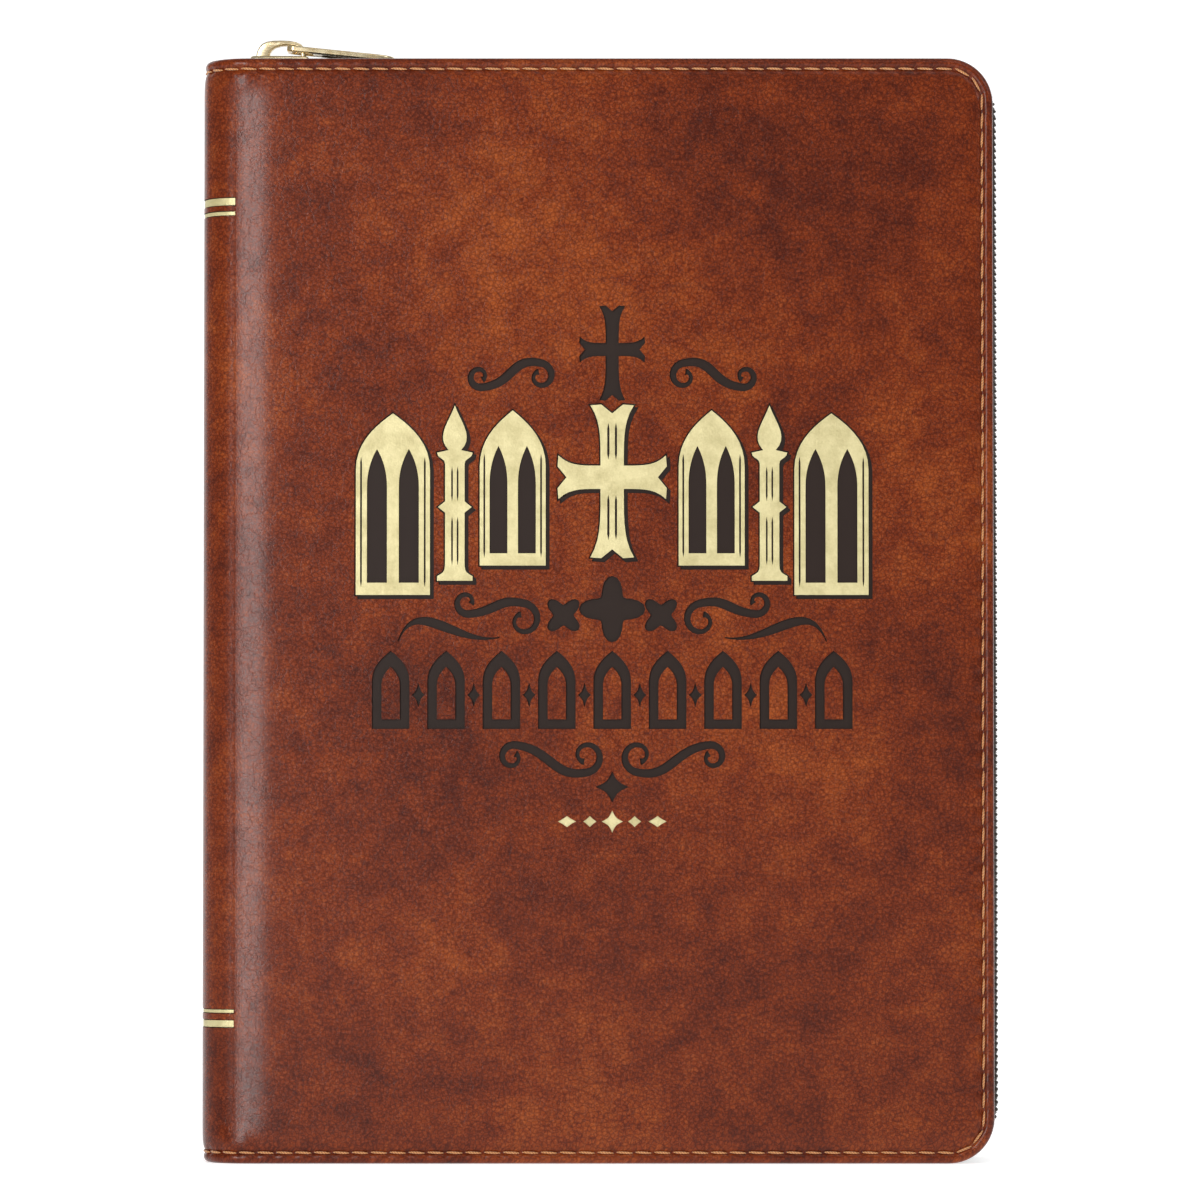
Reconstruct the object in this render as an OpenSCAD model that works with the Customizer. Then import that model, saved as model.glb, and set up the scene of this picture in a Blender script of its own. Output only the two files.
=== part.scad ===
// Zippered Bible, standing upright on its tail edges. Millimetres.
// +Z runs from tail to head, +X from spine to fore-edge, +Y from front cover to back cover.
// The origin is at the middle of the footprint. Depths are counted inwards from a cover's face.

/* [Book] */
// Width from the spine's outer face to the fore-edge of the covers
book_w = 156; // [125:1:200]
// Height from tail to head
book_h = 218; // [160:1:280]
// Thickness over both covers
book_t = 38; // [30:0.5:50]
// Radius of the covers' corners at the fore-edge
corner_r = 9; // [6:0.5:14]
// Radius of the spine's two shoulders
shoulder_r = 9; // [6:0.5:12]

/* [Covers] */
// Leather thickness
leather_t = 1; // [0.8:0.1:1.4]
// Padding between leather and board
foam_t = 0.8; // [0.5:0.1:1.5]
// Board thickness
board_t = 1.5; // [1:0.1:2.5]
// Lining thickness
lining_t = 0.3; // [0.2:0.05:0.5]
// Width of the turned edge round each cover
rim_w = 4; // [3:0.25:5]
// Distance from the cover's edge to its row of stitching
stitch_inset = 2.2; // [1.5:0.1:2.6]
// Thickness of the sewing thread
thread_w = 0.5; // [0.3:0.05:0.7]

/* [Zip] */
// Thickness of the woven tape
tape_t = 0.6; // [0.4:0.05:0.8]
// How far the coil stands out from the tape
coil_h = 1.7; // [1.2:0.1:2.2]
// Width of one row of the coil
coil_w = 2.4; // [1.8:0.1:3]
// How far the zip is set in from the tail edge, so that the book stands on its covers
tail_recess = 2; // [2:0.1:3]
// Height of the covers' head edges over the zip's tape
head_recess = 0.8; // [0.4:0.1:1]

/* [Slider] */
// Length of the slider's plates
slider_l = 11.8; // [10:0.2:14]
// Thickness of each plate
plate_t = 0.9; // [0.7:0.05:1.2]
// Length of the bridge over the slider
bridge_l = 9.9; // [8:0.1:10]
// Clear height under the bridge
bridge_gap = 2.5; // [2.2:0.1:3.5]
// Length of the pull tab from its pivot to its tip
tab_l = 21; // [16:0.5:30]
// Width of the pull tab
tab_w = 6.4; // [5.8:0.1:9]
// Thickness of the pull tab
tab_t = 1.2; // [1:0.1:1.3]

/* [Text block] */
// Set-back of the pages from the covers' edges at head and tail
page_margin = 4; // [4:0.25:7]
// Set-back of the pages at the fore-edge
fore_margin = 5; // [4:0.25:8]
// Radius of the pages' corners at the fore-edge
page_r = 5; // [3:0.5:8]
// Thickness of a flyleaf
flyleaf_t = 0.4; // [0.2:0.05:0.6]
// Thickness of the outermost section that opens with a cover
outer_section_t = 3; // [2:0.1:4]
// Thickness of the next section in
inner_section_t = 3.5; // [2:0.1:4]
// Width of the ribbon marker
ribbon_w = 6; // [4:0.5:9]
// Diameter of the head and tail bands
band_d = 1.8; // [1.4:0.1:2.4]

/* [Hidden] */
$fn = 64;

// clearances
gap = 0.3;        // between pieces that move past each other
fit = 0.05;       // round a thread in its groove
post_gap = 0.2;   // between the slider's post and a row of the coil
cut = 1;          // how far a cutter runs past a face

// joint lines of the two covers
hinge_x = shoulder_r + 0.5;
half_t = book_t / 2;

// depths of the layers, from a cover's outer face
foam_d = leather_t;
board_d = foam_d + foam_t;
lining_d = board_d + board_t;
cover_d = lining_d + lining_t;
flange_d = lining_d - tape_t;
flyleaf_d = cover_d + gap;
outer_d = flyleaf_d + flyleaf_t + gap;
inner_d = outer_d + outer_section_t + gap;
middle_d = inner_d + inner_section_t + gap;

// zip: the two rows end a little short of the middle plane
post_w = 0.8;
row_end_d = half_t - post_w / 2 - post_gap;
zip_h = book_h - head_recess;
tape_inner_z = zip_h - tape_t;
coil_top_z = zip_h + coil_h;

// slider
slider_x = hinge_x - 1;
slider_w = 2 * (coil_w + post_w / 2 + post_gap + 1.8);
flange_w = 1.3;
lower_z = tape_inner_z - gap - plate_t;
upper_z = coil_top_z + gap;
plate_top_z = upper_z + plate_t;
post_l = 2.2;
strap_t = 0.9;
strap_w = 3;
foot_l = 2.6;
bridge_x = slider_x + 1.1;
pivot_r = 0.7;
pivot_x = bridge_x + bridge_l - 1.1 - pivot_r - 1.4;
pivot_z = plate_top_z + bridge_gap - pivot_r - 0.15;
tab_drop = pivot_z - coil_top_z - tab_t / 2 - 0.1;
tab_slope = asin(tab_drop / tab_l);
eye_l = 5.2;
arm_w = (tab_w - strap_w - 2 * gap) / 2;

// where each row of the coil starts along the head, clear of the slider's sweep
back_coil_x = hinge_x + 0.6;
front_coil_x = slider_x + slider_l + 7.4;
tail_coil_x = hinge_x + 3;

// text block
page_x = book_w - fore_margin;
page_spine_x = leather_t + 3.8;
liner_t = 0.4;
ribbon_t = 0.3;
ribbon_slot = 0.5;
ribbon_x = page_spine_x + 20;

// footprint is centred, fore-edge coil included
centre_x = (book_w + coil_h) / 2;

leather_colour = [0.42, 0.21, 0.11];
paper_colour = [0.93, 0.9, 0.82];
zip_colour = [0.13, 0.09, 0.07];
thread_colour = [0.85, 0.58, 0.3];
brass_colour = [0.83, 0.72, 0.48];

// ---------- helpers ----------

// Moves a drawing made from the spine's outer face to the part's own origin
module placed() { translate([-centre_x, 0, 0]) children(); }

// A flat outline drawn in X and Z, standing between two depths under the front cover's face
module front_layer(d0, d1) {
    translate([0, d1 - half_t, 0]) rotate([90, 0, 0]) linear_extrude(d1 - d0) children();
}

module back_layer(d0, d1) { mirror([0, 1, 0]) front_layer(d0, d1) children(); }

// A rectangle whose two corners on the right are round
module round_right(x0, x1, z0, z1, r) {
    translate([x0, z0]) square([x1 - x0 - r, z1 - z0]);
    translate([x0, z0 + r]) square([x1 - x0, z1 - z0 - 2 * r]);
    for (z = [z0 + r, z1 - r]) translate([x1 - r, z]) circle(r);
}

// The covers' outline, set in by some distance at head, fore-edge and tail
module cover_outline(x0, inset) {
    round_right(x0, book_w - inset, inset, book_h - inset, corner_r - inset);
}

// The zip's outline, which lies a little inside the covers' edges at head and tail
module zip_outline(x0, inset) {
    round_right(x0, book_w - inset, tail_recess + inset, zip_h - inset, corner_r - inset);
}

// A band along head, fore-edge and tail, open at the spine
module cover_band(x0, outer, inner) {
    difference() { cover_outline(x0, outer); cover_outline(x0 - cut, inner); }
}

module zip_band(x0, outer, inner) {
    difference() { zip_outline(x0, outer); zip_outline(x0 - cut, inner); }
}

module page_outline(x0) { round_right(x0, page_x, page_margin, book_h - page_margin, page_r); }

// Spine seen from above: flat back and two round shoulders, set in by some distance
module spine_outline(inset) {
    r = shoulder_r - inset;
    y = half_t - inset;
    end_x = hinge_x - gap;
    intersection() {
        union() {
            translate([inset + r, -y]) square([end_x - inset - r, 2 * y]);
            translate([inset, r - y]) square([r, 2 * (y - r)]);
            for (side = [-1, 1]) translate([inset + r, side * (y - r)]) circle(r);
        }
        translate([inset - cut, -y - cut]) square([end_x - inset + cut, 2 * (y + cut)]);
    }
}

// The wall between two such outlines, open towards the covers
module spine_ring(outer, inner) {
    inner_y = half_t - inner;
    difference() {
        spine_outline(outer);
        union() {
            spine_outline(inner);
            translate([hinge_x - gap - cut / 2, -inner_y]) square([cut, 2 * inner_y]);
        }
    }
}

// ---------- covers, drawn as the front one ----------

module cover_leather() {
    difference() {
        union() {
            front_layer(0, leather_t) cover_outline(hinge_x, 0);
            front_layer(leather_t, flange_d) cover_band(hinge_x, 0, rim_w);
        }
        front_layer(-cut, thread_w + fit)
            cover_band(hinge_x - cut, stitch_inset - thread_w / 2 - fit,
                       stitch_inset + thread_w / 2 + fit);
    }
}

module cover_thread() {
    front_layer(fit, thread_w)
        cover_band(hinge_x, stitch_inset - thread_w / 2, stitch_inset + thread_w / 2);
}

module cover_core(d0, d1) { front_layer(d0, d1) zip_outline(hinge_x + 1, rim_w + fit); }

module cover_lining() { front_layer(lining_d, cover_d) zip_outline(hinge_x + gap, tape_t + fit); }

module cover_tape() {
    front_layer(flange_d, lining_d) zip_band(hinge_x + gap, 0, rim_w);
    front_layer(flange_d, row_end_d) zip_band(hinge_x + gap, 0, tape_t);
}

module cover_coil(head_x) {
    front_layer(row_end_d - coil_w, row_end_d) difference() {
        zip_band(tail_coil_x, -coil_h, 0);
        translate([0, book_h / 2]) square([head_x, book_h]);
    }
}

module front_leather() { color(leather_colour) placed() cover_leather(); }
module front_foam() { color("khaki") placed() cover_core(foam_d, board_d); }
module front_board() { color("gray") placed() cover_core(board_d, lining_d); }
module front_lining() { color("saddlebrown") placed() cover_lining(); }
module front_tape() { color(zip_colour) placed() cover_tape(); }
module front_coil() { color(zip_colour) placed() cover_coil(front_coil_x); }
module front_stitching() { color(thread_colour) placed() cover_thread(); }

module back_leather() { color(leather_colour) placed() mirror([0, 1, 0]) cover_leather(); }
module back_foam() { color("khaki") placed() mirror([0, 1, 0]) cover_core(foam_d, board_d); }
module back_board() { color("gray") placed() mirror([0, 1, 0]) cover_core(board_d, lining_d); }
module back_lining() { color("saddlebrown") placed() mirror([0, 1, 0]) cover_lining(); }
module back_tape() { color(zip_colour) placed() mirror([0, 1, 0]) cover_tape(); }
module back_coil() { color(zip_colour) placed() mirror([0, 1, 0]) cover_coil(back_coil_x); }
module back_stitching() { color(thread_colour) placed() mirror([0, 1, 0]) cover_thread(); }

// ---------- spine ----------

stitch_rows = [stitch_inset - thread_w / 2, book_h - stitch_inset - thread_w / 2];

module spine_leather() {
    color(leather_colour) placed() difference() {
        linear_extrude(book_h) spine_ring(0, leather_t);
        for (z = stitch_rows) translate([0, 0, z - fit])
            linear_extrude(thread_w + 2 * fit) spine_ring(-cut, thread_w + fit);
    }
}

module spine_stitching() {
    color(thread_colour) placed() for (z = stitch_rows)
        translate([0, 0, z]) linear_extrude(thread_w) spine_ring(fit, thread_w);
}

module spine_stiffener() {
    color("gray") placed() translate([leather_t, shoulder_r - half_t, page_margin])
        cube([1.2, 2 * (half_t - shoulder_r), book_h - 2 * page_margin]);
}

module spine_liner() {
    color("white") placed() translate([page_spine_x - liner_t, flyleaf_d - half_t, page_margin])
        cube([liner_t, 2 * (half_t - flyleaf_d), book_h - 2 * page_margin]);
}

// ---------- text block ----------

module front_gutter_fold() {
    color(paper_colour) placed() front_layer(flyleaf_d, middle_d - gap)
        translate([page_spine_x, page_margin])
            square([hinge_x - gap - page_spine_x, book_h - 2 * page_margin]);
}

module back_gutter_fold() { mirror([0, 1, 0]) front_gutter_fold(); }

module section_3() {
    color(paper_colour) placed() front_layer(middle_d, half_t - ribbon_slot / 2)
        page_outline(page_spine_x);
}

module section_4() { mirror([0, 1, 0]) section_3(); }

module front_flyleaf() {
    color(paper_colour) placed() front_layer(flyleaf_d, flyleaf_d + flyleaf_t)
        page_outline(hinge_x + gap);
}

module section_1() {
    color(paper_colour) placed() front_layer(outer_d, outer_d + outer_section_t)
        page_outline(hinge_x + gap);
}

module section_2() {
    color(paper_colour) placed() front_layer(inner_d, inner_d + inner_section_t)
        page_outline(hinge_x + gap);
}

module back_flyleaf() { mirror([0, 1, 0]) front_flyleaf(); }
module section_6() { mirror([0, 1, 0]) section_1(); }
module section_5() { mirror([0, 1, 0]) section_2(); }

// A sewn band across the end of the block's spine, flat where it is glued on
module end_band(z) {
    placed() translate([page_spine_x + band_d / 2, half_t - flyleaf_d - flyleaf_t, z])
        rotate([90, 0, 0]) linear_extrude(2 * (half_t - flyleaf_d - flyleaf_t)) intersection() {
            circle(d = band_d);
            translate([-band_d, 0]) square([2 * band_d, band_d]);
        }
}

module head_band() { color("darkred") end_band(book_h - page_margin); }
module tail_band() {
    color("darkred") translate([0, 0, page_margin]) mirror([0, 0, 1]) end_band(0);
}

module ribbon_marker() {
    color("firebrick") placed() translate([ribbon_x, -ribbon_t / 2, page_margin - 1])
        cube([ribbon_w, ribbon_t, book_h - 2 * page_margin + 2]);
}

// ---------- ends of the zip ----------

module end_tab(z) {
    placed() translate([leather_t, -slider_w / 2, z])
        cube([slider_x - 0.6 - leather_t, slider_w, tape_t]);
}

module head_end_tab() { color(leather_colour) end_tab(tape_inner_z); }
module tail_end_tab() { color(leather_colour) end_tab(tail_recess); }

module bottom_stop() {
    color(brass_colour) placed()
        translate([hinge_x - 4.4, -coil_w, tail_recess - coil_h])
            cube([3, 2 * coil_w, coil_h]);
}

// ---------- slider and pull ----------

module slider_body() {
    color(brass_colour) placed() {
        for (z = [lower_z, upper_z]) translate([slider_x, -slider_w / 2, z])
            cube([slider_l, slider_w, plate_t]);
        for (y = [-slider_w / 2, slider_w / 2 - flange_w])
            translate([slider_x, y, zip_h + gap])
                cube([slider_l, flange_w, upper_z - zip_h - gap]);
        translate([slider_x, -post_w / 2, lower_z + plate_t])
            cube([post_l, post_w, upper_z - lower_z - plate_t]);
    }
}

// Arch seen from the side: a broad foot at the nose, a strap and a narrow leg
module slider_bridge() {
    arch_h = bridge_gap + strap_t;
    arch_r = 1.6;
    color(brass_colour) placed()
        translate([bridge_x, strap_w / 2, plate_top_z]) rotate([90, 0, 0])
            linear_extrude(strap_w) difference() {
                union() {
                    square([bridge_l, arch_h - arch_r]);
                    translate([arch_r, 0]) square([bridge_l - 2 * arch_r, arch_h]);
                    for (x = [arch_r, bridge_l - arch_r])
                        translate([x, arch_h - arch_r]) circle(arch_r);
                }
                translate([foot_l, -cut])
                    square([bridge_l - foot_l - 1.1, bridge_gap + cut]);
            }
}

// Flat tab with an open eye; the bar at the end of the eye turns under the bridge
module pull_tab() {
    color(brass_colour) placed()
        translate([pivot_x, 0, pivot_z]) rotate([0, tab_slope, 0]) {
            rotate([90, 0, 0]) cylinder(h = tab_w, r = pivot_r, center = true);
            for (side = [-1, 1]) translate([0, side * (tab_w - arm_w) / 2, 0])
                translate([0, -arm_w / 2, -tab_t / 2]) cube([eye_l, arm_w, tab_t]);
            translate([0, 0, -tab_t / 2]) linear_extrude(tab_t) {
                translate([eye_l - 0.5, -tab_w / 2])
                    square([tab_l - eye_l + 0.5 - tab_w / 2, tab_w]);
                translate([tab_l - tab_w / 2, 0]) circle(d = tab_w);
            }
        }
}

spine_leather();
spine_stiffener();
spine_liner();
spine_stitching();
section_3();
section_4();
front_gutter_fold();
back_gutter_fold();
head_band();
tail_band();
ribbon_marker();
head_end_tab();
tail_end_tab();
bottom_stop();
front_leather();
front_foam();
front_board();
front_lining();
front_tape();
front_coil();
front_stitching();
back_leather();
back_foam();
back_board();
back_lining();
back_tape();
back_coil();
back_stitching();
front_flyleaf();
section_1();
section_2();
back_flyleaf();
section_6();
section_5();
slider_body();
slider_bridge();
pull_tab();
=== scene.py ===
# %% [markdown]
# # A zippered Bible, standing closed on its tail edges
#
# The real book has a padded leather wrap with a zip round three sides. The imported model
# already holds every part at its real size, so this file only gives those parts their looks.
# Each section says what a piece is on the real book, how it could be made, and why it is
# made the way it is here.

# %% Load the frame
import math
import random

import bmesh
import bpy
from mathutils import Matrix, Vector
from mathutils.geometry import interpolate_bezier


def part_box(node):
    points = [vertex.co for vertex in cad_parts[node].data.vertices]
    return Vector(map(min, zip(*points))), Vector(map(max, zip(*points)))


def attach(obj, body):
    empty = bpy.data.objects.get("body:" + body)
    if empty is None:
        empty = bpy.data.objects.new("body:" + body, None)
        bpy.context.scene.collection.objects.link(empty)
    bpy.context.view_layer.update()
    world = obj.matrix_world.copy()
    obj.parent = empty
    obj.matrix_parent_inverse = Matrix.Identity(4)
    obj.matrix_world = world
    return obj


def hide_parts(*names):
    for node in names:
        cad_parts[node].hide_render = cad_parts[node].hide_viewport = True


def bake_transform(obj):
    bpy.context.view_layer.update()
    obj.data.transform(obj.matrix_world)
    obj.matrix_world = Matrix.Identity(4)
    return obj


MM = 0.001
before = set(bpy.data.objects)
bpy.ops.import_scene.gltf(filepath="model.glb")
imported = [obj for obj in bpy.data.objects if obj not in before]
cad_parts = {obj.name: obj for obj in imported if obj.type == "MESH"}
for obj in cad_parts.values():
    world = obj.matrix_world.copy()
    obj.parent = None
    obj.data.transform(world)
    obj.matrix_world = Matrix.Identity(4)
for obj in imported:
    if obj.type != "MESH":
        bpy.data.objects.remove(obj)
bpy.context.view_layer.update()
print("frame has", len(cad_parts), "nodes")

# %% [markdown]
# The places that everything else is measured from come from the frame: the spine's outer
# face, the joint lines where the covers turn, the fore-edge, the head and the zip.

# %% Read the book's own lines
cover_low, cover_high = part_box("front_leather")
spine_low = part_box("spine_leather")[0]
tape_low, tape_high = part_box("front_tape")
coil_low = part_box("front_coil")[0]
leaf_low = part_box("section_3")[0]

SPINE_X = spine_low.x
HINGE_X = cover_low.x
FORE_X = cover_high.x
HEAD_Z = cover_high.z
HALF_T = -cover_low.y
SHOULDER = HINGE_X - SPINE_X - 0.5 * MM
CORNER = 9 * MM
TAIL_ZIP_Z = tape_low.z
HEAD_ZIP_Z = tape_high.z
print("cover", round((FORE_X - SPINE_X) / MM, 1), "x", round(HEAD_Z / MM, 1), "mm")

# %% [markdown]
# # Camera, lights and floor
#
# A long lens far away keeps the upright edges parallel. It stands a little low and looks
# up by two degrees, level with the lower half of the cover. The plain Standard view keeps
# the colours as they are mixed below.

# %% Camera
LENS = 200
SENSOR = 36
FRAME_W = 236.3 * MM
LOOK_UP = math.radians(2.0)
aim = Vector(((SPINE_X + FORE_X) / 2 + 0.4 * MM, -HALF_T, HEAD_Z / 2 + 1.8 * MM))
distance = FRAME_W * LENS / SENSOR
camera_data = bpy.data.cameras.new("camera")
camera_data.lens = LENS
camera_data.sensor_width = SENSOR
camera = bpy.data.objects.new("camera", camera_data)
bpy.context.scene.collection.objects.link(camera)
camera.location = aim + distance * Vector((0, -math.cos(LOOK_UP), -math.sin(LOOK_UP)))
camera.rotation_euler = (math.pi / 2 + LOOK_UP, 0, 0)
bpy.context.scene.camera = camera
bpy.context.scene.view_settings.view_transform = "Standard"
print("camera stands", round(distance, 3), "m in front, at height", round(camera.location.z, 3))

# %% [markdown]
# Soft light all round comes from a nearly white world. A tall strip on the left draws the
# long highlight down the spine's shoulder, a wide panel lights the cover evenly, and a
# small one at the upper right picks out the edges of the sunk work. Area lights are chosen
# because a highlight on leather takes the shape of what it mirrors.

# %% World and lights
def area_light(name, place, target, size, power):
    data = bpy.data.lights.new(name, "AREA")
    data.shape = "RECTANGLE"
    data.size, data.size_y = size
    data.energy = power
    light = bpy.data.objects.new(name, data)
    light.location = place
    light.rotation_euler = (Vector(target) - Vector(place)).to_track_quat("-Z", "Y").to_euler()
    bpy.context.scene.collection.objects.link(light)
    print(name, "gives", power, "watts")


world = bpy.data.worlds.new("studio")
world.use_nodes = True
world.node_tree.nodes["Background"].inputs["Color"].default_value = (1, 1, 1, 1)
world.node_tree.nodes["Background"].inputs["Strength"].default_value = 0.36
bpy.context.scene.world = world

middle = (0, 0, HEAD_Z / 2)
area_light("strip_left", (-0.45, -1.0, 0.10), middle, (0.20, 1.3), 13.5)
area_light("panel_front", (0.5, -0.9, 1.5), middle, (1.0, 0.8), 4)
area_light("edge_right", (0.9, -0.5, 0.75), middle, (0.3, 0.5), 2)

# %% [markdown]
# A floor with a straight far edge would show as a line behind the book. So one edge of the
# floor is pulled up into a wall, and a wide bevel turns the corner between them into a curve.

# %% Floor that curves up into a backdrop
FLOOR_HALF = 3.0
WALL_HEIGHT = 3.0
FLOOR_CURVE = 1.2


def at_wall(edge):
    return all(v.co.y > FLOOR_HALF - 0.1 for v in edge.verts)


def make_floor():
    bm = bmesh.new()
    bmesh.ops.create_grid(bm, x_segments=1, y_segments=1, size=FLOOR_HALF)
    risen = bmesh.ops.extrude_edge_only(bm, edges=[e for e in bm.edges if at_wall(e)])["geom"]
    bmesh.ops.translate(bm, vec=(0, 0, WALL_HEIGHT),
                        verts=[v for v in risen if isinstance(v, bmesh.types.BMVert)])
    corner = [e for e in bm.edges if at_wall(e) and all(abs(v.co.z) < 0.01 for v in e.verts)]
    bmesh.ops.bevel(bm, geom=corner, offset=FLOOR_CURVE, segments=16, profile=0.5, affect="EDGES",
                    material=-1)
    bmesh.ops.recalc_face_normals(bm, faces=bm.faces)
    mesh = bpy.data.meshes.new("floor")
    bm.to_mesh(mesh)
    bm.free()
    mesh.shade_smooth()
    floor = bpy.data.objects.new("floor", mesh)
    bpy.context.scene.collection.objects.link(floor)
    print("floor has", len(mesh.polygons), "faces")
    return floor


floor = make_floor()

# %% [markdown]
# # Materials
#
# A finish is a small tree of nodes. The helpers below add one node, fill in its sockets
# and return it, so that each finish reads as a short list. Every pattern is counted in
# millimetres, so its sizes are the real ones.

# %% Node helpers
def add_node(material, kind, inputs=None, **settings):
    made = material.node_tree.nodes.new(kind)
    for key, value in settings.items():
        setattr(made, key, value)
    for key, value in (inputs or {}).items():
        if isinstance(value, bpy.types.NodeSocket):
            material.node_tree.links.new(value, made.inputs[key])
        else:
            made.inputs[key].default_value = value
    return made


def start_material(name, roughness=0.5, metallic=0.0, space="Object"):
    """A new finish, its shader, and a vector that counts millimetres in the given space."""
    material = bpy.data.materials.new(name)
    material.use_nodes = True
    shader = material.node_tree.nodes["Principled BSDF"]
    shader.inputs["Roughness"].default_value = roughness
    shader.inputs["Metallic"].default_value = metallic
    coordinates = add_node(material, "ShaderNodeTexCoord")
    scaled = add_node(material, "ShaderNodeVectorMath", {0: coordinates.outputs[space], 1: (1000,) * 3},
                      operation="MULTIPLY")
    return material, shader, scaled.outputs[0]


def drive(material, shader, socket, source):
    """Links a pattern to one of the shader's sockets."""
    material.node_tree.links.new(source, shader.inputs[socket])


def colour_ramp(material, factor, *stops):
    ramp = add_node(material, "ShaderNodeValToRGB", {"Fac": factor})
    elements = ramp.color_ramp.elements
    while len(elements) < len(stops):
        elements.new(0.5)
    for element, (place, colour) in zip(elements, stops):
        element.position = place
        element.color = (*colour, 1)
    return ramp.outputs["Color"]


def darkened(material, colour, shade):
    """The colour multiplied by a shade."""
    return add_node(material, "ShaderNodeMix", {0: 1.0, 6: colour, 7: shade}, data_type="RGBA",
                    blend_type="MULTIPLY").outputs[2]


def joined_values(material, operation, first, second):
    return add_node(material, "ShaderNodeMath", {0: first, 1: second}, operation=operation).outputs[0]


def bump(material, shader, *layers):
    """Adds one layer of relief after another. A layer is (height, distance in mm, strength)."""
    normal = None
    for height, depth, strength in layers:
        inputs = {"Height": height, "Distance": depth * MM, "Strength": strength}
        if normal is not None:
            inputs["Normal"] = normal
        normal = add_node(material, "ShaderNodeBump", inputs).outputs["Normal"]
    drive(material, shader, "Normal", normal)


def noise_at(material, vector, scale, detail=4, roughness=0.55, distortion=0.0):
    """Noise whose spots are about 1/scale millimetres across."""
    return add_node(material, "ShaderNodeTexNoise", {
        "Vector": vector, "Scale": scale, "Detail": detail, "Roughness": roughness,
        "Distortion": distortion}).outputs["Fac"]


def cell_borders(material, vector, scale):
    """How far a point is from the border of its cell, for cells about 1/scale millimetres wide."""
    return add_node(material, "ShaderNodeTexVoronoi", {
        "Vector": vector, "Scale": scale, "Randomness": 1.0}, feature="DISTANCE_TO_EDGE").outputs["Distance"]


# %% [markdown]
# The leather is a brushed, mottled brown: broad clouds of darker dye, finer blotches, and
# a grain of small pebbles with creases between them. Painted shade darkens the creases and
# the wandering crease lines that cross the whole hide. The wrap bends at the joints, so its
# pattern follows the sheet's own map: a pattern in space would swim over the bend.

# %% Leather
def leather_material(name, space, dark, mid, light, relief=1.0):
    material, shader, mm = start_material(name, space=space)
    shader.inputs["Specular IOR Level"].default_value = 0.22
    cloud = noise_at(material, mm, 0.018, detail=3, distortion=0.4)
    blotch = noise_at(material, mm, 0.16, detail=7, roughness=0.68, distortion=0.3)
    fine = noise_at(material, mm, 1.5, detail=5, roughness=0.7)
    tone = joined_values(material, "ADD", blotch, cloud)
    tone = joined_values(material, "ADD", tone, fine)
    tone = joined_values(material, "MULTIPLY", tone, 1 / 3)
    colour = colour_ramp(material, tone, (0.40, dark), (0.5, mid), (0.61, light))
    pebble = cell_borders(material, mm, 1.25)
    # Painted shade: the colour is darkened along the borders of the pebbles, where the bump sinks them.
    crease_shade = colour_ramp(material, pebble, (0.0, (0.52, 0.45, 0.42)), (0.16, (1, 1, 1)))
    colour = darkened(material, colour, crease_shade)
    wander = add_node(material, "ShaderNodeTexNoise", {
        "Vector": mm, "Scale": 0.4, "Detail": 4}).outputs["Color"]
    strayed = add_node(material, "ShaderNodeVectorMath", {0: wander, 1: (7, 7, 7), 2: mm},
                       operation="MULTIPLY_ADD").outputs[0]
    # Painted shade: the wandering crease lines darken the colour where the bump sinks them.
    lines = cell_borders(material, strayed, 0.24)
    lines = colour_ramp(material, lines, (0.0, (0.74, 0.68, 0.66)), (0.04, (1, 1, 1)))
    drive(material, shader, "Base Color", darkened(material, colour, lines))
    drive(material, shader, "Roughness", colour_ramp(material, fine, (0.3, (0.20,) * 3), (0.7, (0.32,) * 3)))
    wrinkle = noise_at(material, mm, 0.7, detail=6, roughness=0.75, distortion=1.6)
    bump(material, shader, (pebble, 0.10, 0.24 * relief), (wrinkle, 0.10, 0.15 * relief),
         (lines, 0.06, 0.5 * relief))
    return material


BROWN_DARK, BROWN_MID, BROWN_LIGHT = (0.072, 0.009, 0.0015), (0.158, 0.023, 0.0025), (0.275, 0.058, 0.008)
leather = leather_material("wrap_leather", "UV", BROWN_DARK, BROWN_MID, BROWN_LIGHT)
leather_small = leather_material("tab_leather", "Object", BROWN_DARK, BROWN_MID, BROWN_LIGHT)
lining_skin = leather_material("lining_skin", "UV", (0.05, 0.018, 0.010), (0.085, 0.030, 0.016),
                               (0.12, 0.045, 0.024), relief=0.5)
print("leather for the wrap, the tabs and the linings")

# %% [markdown]
# The sunk work is dyed nearly black. The dye soaks in and dulls the shine, so this finish
# is rougher than the leather around it. The gold is a pale foil pressed on with heat. A full
# metal would mirror the dark side of the room, so it is a half metal with a little wear.

# %% Ink and foil
def ink_material():
    material, shader, mm = start_material("debossed_ink", roughness=0.42, space="UV")
    shader.inputs["Specular IOR Level"].default_value = 0.15
    grain = noise_at(material, mm, 1.4, detail=5)
    drive(material, shader, "Base Color",
          colour_ramp(material, grain, (0.35, (0.012, 0.007, 0.005)), (0.7, (0.028, 0.016, 0.012))))
    bump(material, shader, (grain, 0.08, 0.5))
    return material


def foil_material():
    material, shader, mm = start_material("gold_foil", roughness=0.42, metallic=0.35)
    wear = noise_at(material, mm, 0.25, detail=6, roughness=0.7)
    drive(material, shader, "Base Color",
          colour_ramp(material, wear, (0.3, (0.42, 0.36, 0.17)), (0.6, (0.60, 0.53, 0.28))))
    bump(material, shader, (noise_at(material, mm, 2.2), 0.08, 0.6))
    return material


ink = ink_material()
foil = foil_material()
print("finishes for the stamped work:", ink.name, "and", foil.name)
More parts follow.
